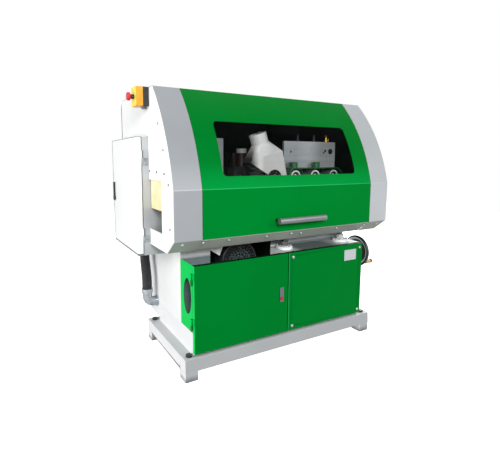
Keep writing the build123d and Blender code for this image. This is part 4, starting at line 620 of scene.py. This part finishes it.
def plate_steel_and_light():
    """Rolled plate, with painted light making it paler towards its right end, which the roof shades."""
    s = Shader("rolled steel plate")
    streak = s.noise(1.0, 3.0, s.scaled(*ROLLED))
    left = linear(146, 152, 156)
    right = linear(210, 214, 217)
    # painted light towards the right end, against the roof's shade
    pale = s.rise("X", OFF_X + 0.15, OFF_X + 0.33)
    low = s.mix(pale, shade(left, 0.93), shade(right, 0.93))
    high = s.mix(pale, shade(left, 1.07), shade(right, 1.07))
    s.set("Base Color", s.mix(s.span(streak, 0.0, 1.0), low, high))
    s.set("Metallic", 0.45)
    s.set("Roughness", s.span(streak, 0.34, 0.54))
    s.bump(streak, 0.06, 0.0003)
    return s.mat


def top_steel_and_shade():
    """Top plate's steel, with painted shade making it darker between the two flanges."""
    s = Shader("top plate steel")
    streak = s.noise(1.0, 3.0, s.scaled(*ROLLED))
    grain = s.span(streak, 0.0, 1.0)
    # painted shade between the two flanges
    between = s.both(s.rise("X", OFF_X + 0.055, OFF_X + 0.095), s.fall("X", OFF_X + 0.270, OFF_X + 0.345))
    pale = s.mix(grain, linear(208, 211, 212), linear(222, 225, 226))
    dim = s.mix(grain, linear(106, 119, 118), linear(122, 136, 134))
    s.set("Base Color", s.mix(between, pale, dim))
    s.set("Metallic", 0.30)
    s.set("Roughness", s.span(streak, 0.32, 0.52))
    s.bump(streak, 0.06, 0.0003)
    return s.mat


def flange_paint_and_shade():
    """White flanges; the two hubs are alike, painted dark on the left one as painted shade and pale on the
    right one as painted light.
    """
    s = Shader("flange and hub")
    drift = s.specks(12.0, 4.0)
    left = s.mix(drift, linear(80, 82, 80), linear(100, 102, 99))
    right = s.mix(drift, linear(198, 200, 197), linear(216, 218, 215))
    # painted shade on the left hub, painted light on the right one
    hub = s.mix(s.above("X", OFF_X + 0.209), left, right)
    plate = s.mix(drift, linear(240, 242, 242), linear(251, 252, 252))
    s.set("Base Color", s.mix(s.above("Z", 0.4765), plate, hub))
    s.rough(40.0, 3.0, 0.30, 0.46)
    s.bump(s.noise(600.0, 2.0), 0.06, 0.0004)
    return s.mat


def roller_steel_and_highlight():
    """Ground roller with a pale faced rim at its front end, painted near white as a painted highlight."""
    s = Shader("ground roller")
    streak = s.noise(1.0, 3.0, s.scaled(300.0, 6.0, 300.0))
    grain = s.span(streak, 0.0, 1.0)
    face = s.looks("Y", -1)
    ground = s.mix(grain, linear(150, 153, 155), linear(186, 189, 191))
    # near white painted highlight on the faced front end
    rim = s.mix(grain, linear(236, 238, 238), linear(250, 251, 251))
    s.set("Base Color", s.mix(face, ground, rim))
    s.set("Metallic", s.blend(face, 0.7, 0.1))
    s.set("Roughness", s.span(streak, 0.20, 0.38))
    s.bump(streak, 0.06, 0.0003)
    return s.mat


def spiked():
    """Blackened roller with punched points, painted a little lighter at their tips as painted highlight."""
    s = Shader("spiked roller")
    cells = s.node("ShaderNodeTexVoronoi")
    cells.inputs["Scale"].default_value = 150.0
    s.link(s.coords, cells.inputs["Vector"])
    off_point = cells.outputs["Distance"]
    # painted highlight at the tips of the points
    s.set("Base Color", s.mix(s.span(off_point, 0.0, 1.0, 0.1, 0.6), linear(34, 34, 36), linear(7, 7, 8)))
    s.set("Metallic", 0.6)
    s.rough(80.0, 3.0, 0.38, 0.62)
    s.bump(s.invert(off_point), 0.7, 0.0015)
    return s.mat


def corrugated():
    """Ribbed black conduit, with painted shade in the grooves between its ribs."""
    s = Shader("ribbed conduit")
    wave = s.ripple(s.axis("Z"), 0.0075)
    # the grooves darker as painted shade, the ribs paler
    s.set("Base Color", s.mix(s.span(wave, 0.0, 1.0, -1.0, 1.0), linear(10, 10, 11), linear(34, 35, 38)))
    s.rough(50.0, 3.0, 0.34, 0.48)
    s.bump(wave, 0.8, 0.0015)
    return s.mat


def cream_strip():
    """Soft translucent strip, a little dirty."""
    s = Shader("cream strip")
    s.set("Base Color", s.mottled(16.0, 5.0, linear(250, 226, 160), linear(255, 242, 205)))
    s.rough(30.0, 3.0, 0.40, 0.55)
    s.set("Subsurface Weight", 0.25)
    s.set("Subsurface Radius", (0.02, 0.014, 0.006))
    s.bump(s.noise(120.0, 4.0), 0.10, 0.0006)
    return s.mat


SCREW_Y = OFF_Y - 0.142
SCREW_PITCH = 0.004


def screw_thread(name, x):
    """Bright lifting screw with a fine thread round its axis at x, and painted shade in the thread's groove."""
    s = Shader(name)
    turn = s.math("ARCTAN2", s.math("SUBTRACT", s.axis("Y"), SCREW_Y), s.math("SUBTRACT", s.axis("X"), x))
    wave = s.math("SINE", s.math("ADD", s.both(s.axis("Z"), 2 * math.pi / SCREW_PITCH), turn))
    # painted shade in the thread's groove, paler on its crest
    s.set("Base Color", s.mix(s.span(wave, 0.0, 1.0, -1.0, 1.0), linear(120, 122, 124), linear(205, 207, 208)))
    s.set("Metallic", 1.0)
    s.rough(90.0, 3.0, 0.22, 0.38)
    s.bump(wave, 0.8, 0.001)
    return s.mat


# Finishes that several pieces share

white = paint("white powder coat", WHITE, 0.40)
dark = cast("black machine paint", linear(22, 22, 24), 0.48)
bright_steel = steel("ground steel", linear(196, 198, 200), 0.26, (300.0, 6.0, 300.0), 0.12, 0.7)
tool_steel = steel("dark tool steel", linear(16, 17, 18), 0.42, EVEN_GRAIN, 0.2, 0.0, 0.15)
zinc = steel("zinc plate", linear(172, 179, 184), 0.30, EVEN_GRAIN, 0.10)
cast_green = cast("green casting paint", linear(0, 82, 32), 0.55)
black = plastic("black plastic", linear(20, 20, 21), 0.48)
roller_mat = roller_steel_and_highlight()

LOOKS = {
    "base_frame": base_paint(),
    "levelling_bolts": dark,
    "plinth": white,
    # Pillar: painted light in near white, painted shade under the hood on its front, near black painted shade
    # towards the bay
    "left_pillar": bay_paint("pillar coat", LIT_WHITE,
                             [("Y", -1, linear(122, 136, 142), linear(240, 242, 243)),
                              ("X", 1, BAY_SHADE, BAY_SHADE)], 0.456, 0.468),
    "right_column": column_paint_and_shade(),
    # Divider: dark green painted shade on its front, seen through the door seam
    "bay_divider": bay_paint("divider coat", linear(244, 245, 245),
                             [("Y", -1, DIVIDER_SHADE, DIVIDER_SHADE)], 0.40, 0.46),
    "rear_belt_guard": white,
    "bed_plate": bed_finish(),
    "guide_posts": bright_steel,
    "side_covers": green_paint("green side coat", lit=GREEN_LIT),
    # Panel: painted shadow and painted highlight by the seam, painted shadow along its top edge
    "right_front_panel": green_paint("green panel coat",
                                     edges=[("X", SEAM_X, SEAM_X + 0.0016, SEAM_SHADOW),
                                            ("X", SEAM_X + 0.0016, SEAM_X + 0.0052, SEAM_GLINT), TOP_EDGE_SHADOW]),
    "front_bolts": zinc,
    "top_plate": top_steel_and_shade(),
    "screw_flanges": flange_paint_and_shade(),
    "hinge_pins": hinge_finish(),
    # Left end panel: painted light in near white, near black painted shade inside, painted shadow lines at its
    # rear and top edges
    "left_end_panel": paint("grey panel left", LIT_WHITE, inner_shade=("X", 1),
                            edges=[("Y", 0.3515, 0.40, linear(116, 117, 118)),
                                   ("Z", 1.1505, 1.20, linear(150, 151, 152))]),
    # Right end panel: near black painted shade on its inner face
    "right_end_panel": paint("grey panel right", GREY, inner_shade=("X", -1)),
    "front_strips": strip_paint(),
    "roof_and_back": roof_paint(),
    "cabinet_body": paint("grey powder coat", GREY),
    "switchgear": switchgear_finish(),
    "estop_base": split_plastic("stop box base", "Z", 1.079, linear(120, 121, 122), linear(22, 23, 24)),
    "estop_cover": stop_cover_paint_and_shade(),
    "conduit": corrugated(),
    "conduit_fittings": zinc,
    "motor_housing": dark,
    "fan_cover": fan_grid(-0.118, 0.408),
    "drive_belt": plastic("belt rubber", linear(22, 22, 22), 0.75, 420.0, 0.25),
    "spindle_housing": cast_green,
    "dust_chute": chute_finish(),
    "infeed_guard": paint("grey guard coat", linear(134, 140, 143), 0.45),
    "infeed_pressure_unit": unit_finish(),
    "outfeed_frame": cast_green,
    "outfeed_plate": plate_steel_and_light(),
    "feed_gearmotor": dark,
    # Cover: painted shade where it turns up, painted light over the fold and a painted highlight on it
    "cover_skin": green_paint("green powder coat", linear(0, 134, 47), crown=linear(0, 116, 38),
                              fold=(FOLD_HIGH, FOLD_REACH, linear(2, 150, 62)),
                              edges=[("Z", FOLD_LOW, FOLD_HIGH, linear(40, 180, 100))]),
    "window_pane": window_glass(),
    "cover_handle": handle_finish(),
    # Lip: a painted highlight along its top edge
    "cover_lip": paint("lip sheet", LIP_GREY, 0.40, 0.08,
                       edges=[("Z", 0.5662, 0.5730, linear(246, 252, 244))]),
    # Bay door: painted light on the face that looks left, painted shadow by the seam and along its top edge
    "motor_bay_door": green_paint("green door coat", lit=GREEN_LIT,
                                  edges=[("X", SEAM_X - 0.0030, SEAM_X, SEAM_SHADOW), TOP_EDGE_SHADOW]),
    "latch_body": steel("latch steel", linear(116, 120, 122), 0.34, (300.0, 300.0, 8.0), 0.14),
    "latch_button": plastic("red plastic", linear(205, 22, 30), 0.28, 500.0, 0.04),
    # Cabinet door: painted light in near white, with painted shadow lines along its edges
    "cabinet_door": sheet_edges("cabinet door", LIT_WHITE, linear(122, 124, 126),
                                [("Y", 1, 0.3470), ("Z", -1, 0.4800), ("Z", 1, 0.9585), ("X", 1, -0.5505)]),
    "cabinet_lock": black,
    "estop_button": split_plastic("stop button", "X", OFF_X - 0.6275, linear(205, 30, 44), linear(40, 20, 22)),
    "handwheel": wheel_paint_and_reflection(OFF_Y - 0.142, 0.398),
    "cross_shaft": bright_steel,
    "crank_grip": grip_finish(),
    "left_jackscrew": screw_thread("left thread", OFF_X + 0.033),
    "right_jackscrew": screw_thread("right thread", OFF_X + 0.385),
    "lift_table": cast("planed cast iron", linear(72, 74, 77), 0.42),
    "motor_rotor": steel("brushed steel", linear(150, 155, 158), 0.34),
    "upper_spindle": tool_steel,
    "upper_cutter": tool_steel,
    "lower_spindle": bright_steel,
    "infeed_roller": spiked(),
    "outfeed_roller_1": roller_mat,
    "outfeed_roller_2": roller_mat,
    "outfeed_roller_3": roller_mat,
    "infeed_flap": cream_strip(),
}
for node_name, obj in NODES.items():
    obj.data.materials.clear()
    obj.data.materials.append(LOOKS[node_name])

# Soft edges, in millimetres, on the sheet and cast pieces that the eye meets
SOFT_EDGES = {
    "base_frame": 1.5, "plinth": 1.0, "left_pillar": 1.0, "right_column": 1.0, "rear_belt_guard": 0.6,
    "right_front_panel": 0.7, "motor_bay_door": 0.7, "cabinet_door": 0.8, "cabinet_body": 0.6,
    "left_end_panel": 0.5, "outfeed_frame": 1.5, "latch_body": 0.6,
    "outfeed_plate": 0.6, "levelling_bolts": 0.8, "estop_base": 0.8, "infeed_pressure_unit": 1.2,
}
for node_name, width in SOFT_EDGES.items():
    obj = NODES[node_name]
    weld = obj.modifiers.new("weld", "WELD")
    weld.merge_threshold = 0.00001
    bevel = obj.modifiers.new("edge", "BEVEL")
    bevel.width = width / 1000
    bevel.segments = 2
    bevel.limit_method = "ANGLE"
    bevel.angle_limit = math.radians(45)
    bevel.harden_normals = False


# Small trim that rides on the machine

def mesh_from(name, verts, faces, material, body, smooth=True):
    data = bpy.data.meshes.new(name)
    data.from_pydata([tuple(v) for v in verts], [], faces)
    data.validate()
    data.update()
    if smooth:
        data.polygons.foreach_set("use_smooth", [True] * len(data.polygons))
        data.set_sharp_from_angle(angle=math.radians(40))
    made = bpy.data.objects.new(name, data)
    bpy.context.scene.collection.objects.link(made)
    made.data.materials.append(material)
    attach(made, body)
    return made


def turned(profile, origin, direction, steps=20):
    """Vertices and faces of a profile [(radius, height)] turned round direction from origin."""
    direction = Vector(direction).normalized()
    side = direction.orthogonal().normalized()
    other = direction.cross(side)
    verts, faces = [], []
    for radius, height in profile:
        for i in range(steps):
            a = 2 * math.pi * i / steps
            verts.append(origin + direction * height + (side * math.cos(a) + other * math.sin(a)) * radius)
    for ring in range(len(profile) - 1):
        for i in range(steps):
            j = (i + 1) % steps
            a, b = ring * steps, (ring + 1) * steps
            faces.append((a + i, a + j, b + j, b + i))
    return verts, faces


def group(name, pieces, material, body):
    """One mesh of several turned pieces."""
    verts, faces = [], []
    for more_verts, more_faces in pieces:
        base = len(verts)
        verts += more_verts
        faces += [tuple(base + i for i in f) for f in more_faces]
    return mesh_from(name, verts, faces, material, body)


def resized(profile, wide, high):
    return [(r * wide, h * high) for r, h in profile]


LEFT = (-1, 0, 0)
AHEAD = (0, -1, 0)
UP = (0, 0, 1)
LIP_OUT = Vector((0, -53, -67)).normalized()
CENTRE = 0.00001

# Screw heads on the lip, on the strips, on the left end and over the infeed opening
BUTTON_HEAD = [(0.0062, 0.0), (0.0062, 0.0008), (0.0054, 0.0024), (0.0036, 0.0036), (0.0014, 0.0042),
               (CENTRE, 0.0043)]
PANEL_HEAD = resized(BUTTON_HEAD, 0.8, 0.7)
LEFT_END = -560
dull_zinc = steel("dull zinc", linear(138, 140, 142), 0.40, EVEN_GRAIN, 0.15, 0.2)
screw_steel = steel("dull screw steel", linear(84, 86, 88), 0.40, EVEN_GRAIN, 0.15, 0.2)
lip_at = [(-432, -249, 556), (-321, -249, 556), (-139, -245, 553), (-10, -245, 553), (47, -240, 549),
          (250, -249, 556), (432, -249, 556)]
strip_at = [(-518, -249, 556), (518, -249, 556)]
panel_at = [(LEFT_END, -128, 1004), (LEFT_END, -180, 904), (LEFT_END, -229, 778), (LEFT_END, -238, 616)]
opening_at = [(LEFT_END, -16, 823), (LEFT_END, -103, 821), (LEFT_END, -187, 816)]
for name, head, places, out, material, body, slot_name in (
        ("lip_screws", BUTTON_HEAD, lip_at, LIP_OUT, zinc, "cover", "zinc"),
        ("strip_screws", BUTTON_HEAD, strip_at, LIP_OUT, zinc, "machine", "zinc"),
        ("panel_screws", PANEL_HEAD, panel_at, LEFT, dull_zinc, "machine", "zinc"),
        ("opening_screws", PANEL_HEAD, opening_at, LEFT, screw_steel, "machine", "steel")):
    group(name, [turned(head, at(*place), out) for place in places], material, body)


def slab(name, low, high, material, body):
    verts = [Vector((x, y, z)) for x in (low[0], high[0]) for y in (low[1], high[1]) for z in (low[2], high[2])]
    faces = [(0, 1, 3, 2), (4, 6, 7, 5), (0, 4, 5, 1), (2, 3, 7, 6), (0, 2, 6, 4), (1, 5, 7, 3)]
    return mesh_from(name, verts, faces, material, body, smooth=False)


alloy = steel("satin aluminium", linear(205, 208, 214), 0.34, (5.0, 500.0, 500.0), 0.06, 0.2)
slab("blank_plate", at(331, -228.8, 384), at(408, -228.0, 436), alloy, "machine")

# Adjusters on the top of the outfeed plate, and the plug in its face, with black discs in its holes as painted
# shade
STUD = [(CENTRE, 0.0), (0.009, 0.0), (0.009, 0.008), (0.005, 0.0085), (0.005, 0.032), (0.0042, 0.033),
        (CENTRE, 0.033)]
PLATE_TOP = 958
PLATE_MIDDLE = -54
PLATE_FACE = -60
studs = [turned(STUD, at(x, PLATE_MIDDLE, PLATE_TOP), UP) for x in (170, 271)]
group("plate_studs", studs, dark, "machine")
brass = steel("brass fitting", linear(206, 160, 70), 0.25, EVEN_GRAIN, 0.12)
fitting = [turned(STUD, at(352, PLATE_MIDDLE, PLATE_TOP), UP),
           turned(resized(STUD, 0.7, 0.9), at(362, PLATE_MIDDLE, PLATE_TOP), (0.3, 0, 1))]
group("brass_fitting", fitting, brass, "machine")
PLUG = [(0.014, 0.0), (0.0138, 0.0012), (0.0095, 0.0020), (CENTRE, 0.0020)]
plugs = [turned(PLUG, at(378, PLATE_FACE, 911), AHEAD)]
# black discs as painted shade in the plate's holes
for radius, x, z in ((0.006, 344, 914), (0.0045, 334, 905), (0.005, 125, 908)):
    hole_shade = [(radius, 0.0), (radius - 0.0002, 0.001), (CENTRE, 0.0012)]
    plugs.append(turned(hole_shade, at(x, PLATE_FACE, z), AHEAD))
group("plate_plug", plugs, black, "machine")

# Roller end caps
CAP = [(0.0205, 0.0), (0.0200, 0.0010), (CENTRE, 0.0012)]
ROLLER_X, ROLLER_STEP = 117, 119.5
for i in range(3):
    cap = turned(CAP, at(ROLLER_X + ROLLER_STEP * i, -105, 792), AHEAD)
    group(f"roller_cap_{i + 1}", [cap], black, f"feed_out_{i + 1}")

# Stage: a plain pale floor
FLOOR_HALF, FLOOR_Z = 6, -0.0005
floor_data = bpy.data.meshes.new("floor")
floor_corners = [(x * FLOOR_HALF, y * FLOOR_HALF, FLOOR_Z) for x, y in ((-1, -1), (1, -1), (1, 1), (-1, 1))]
floor_data.from_pydata(floor_corners, [], [(0, 1, 2, 3)])
floor = bpy.data.objects.new("floor", floor_data)
bpy.context.scene.collection.objects.link(floor)
floor_shader = Shader("pale floor")
floor_shader.set("Base Color", floor_shader.mottled(2.0, 3.0, (0.94, 0.94, 0.94, 1), (0.97, 0.97, 0.97, 1)))
floor_shader.set("Roughness", 0.8)
floor_shader.set("Emission Color", (1, 1, 1, 1))
floor_shader.set("Emission Strength", 0.85)
floor.data.materials.append(floor_shader.mat)
floor.visible_diffuse = False
floor.visible_glossy = False

# Surroundings: a white backdrop where they are seen, and a low white light elsewhere
scene = bpy.context.scene
world = bpy.data.worlds.new("studio")
scene.world = world
world.use_nodes = True
tree = world.node_tree
tree.nodes.clear()


def larger(a, b):
    made = tree.nodes.new("ShaderNodeMath")
    made.operation = "MAXIMUM"
    tree.links.new(a, made.inputs[0])
    tree.links.new(b, made.inputs[1])
    return made.outputs[0]


def surround(strength):
    made = tree.nodes.new("ShaderNodeBackground")
    made.inputs["Color"].default_value = (1.0, 1.0, 1.0, 1.0)
    made.inputs["Strength"].default_value = strength
    return made.outputs[0]


rays = tree.nodes.new("ShaderNodeLightPath").outputs
seen = larger(larger(rays["Is Camera Ray"], rays["Is Glossy Ray"]), rays["Is Transmission Ray"])
choice = tree.nodes.new("ShaderNodeMixShader")
for given, socket in zip((seen, surround(0.20), surround(1.0)), choice.inputs):
    tree.links.new(given, socket)
world_out = tree.nodes.new("ShaderNodeOutputWorld")
tree.links.new(choice.outputs[0], world_out.inputs["Surface"])

# Lamps: a broad key from the left, a softer one in front and fills
LAMPS = [
    ("key left", (-3.6, -0.6, 1.5), (0.0, 0.0, 0.6), (3.0, 2.6), 63.0),
    ("by the camera", (-1.45, -3.40, 2.00), (0.0, -0.1, 0.70), (1.2, 1.0), 85.0),
    ("low left", (-2.4, -0.55, 0.30), (-0.5, -0.15, 0.20), (0.8, 0.5), 11.0),
    ("fill right", (1.7, -3.0, 2.0), (0.4, -0.2, 0.8), (1.5, 1.2), 30.0),
    ("top", (0.0, 0.2, 3.6), (0.0, 0.0, 0.0), (3.0, 3.0), 30.0),
    ("rear right", (2.6, 2.6, 1.8), (0.2, 0.2, 0.6), (2.4, 2.0), 90.0),
]
for name, place, target, size, power in LAMPS:
    data = bpy.data.lights.new(name, "AREA")
    data.shape = "RECTANGLE"
    data.size, data.size_y = size
    data.energy = power
    lamp = bpy.data.objects.new(name, data)
    lamp.location = place
    lamp.rotation_euler = (Vector(target) - Vector(place)).to_track_quat("-Z", "Y").to_euler()
    scene.collection.objects.link(lamp)

# Camera solved from the photo's edges: degrees below level and to the right of straight ahead
CAMERA_DOWN, CAMERA_RIGHT = 7.2, 28.9
camera_data = bpy.data.cameras.new("camera")
camera_data.sensor_width = 36.0
camera_data.lens = 27.76
camera_data.shift_x = 0.0488
camera_data.shift_y = -0.0312
camera = bpy.data.objects.new("camera", camera_data)
camera.location = at(-1051, -1544, 865)
camera.rotation_euler = (math.radians(90 - CAMERA_DOWN), 0.0, math.radians(-CAMERA_RIGHT))
scene.collection.objects.link(camera)
scene.camera = camera
scene.view_settings.view_transform = "Standard"
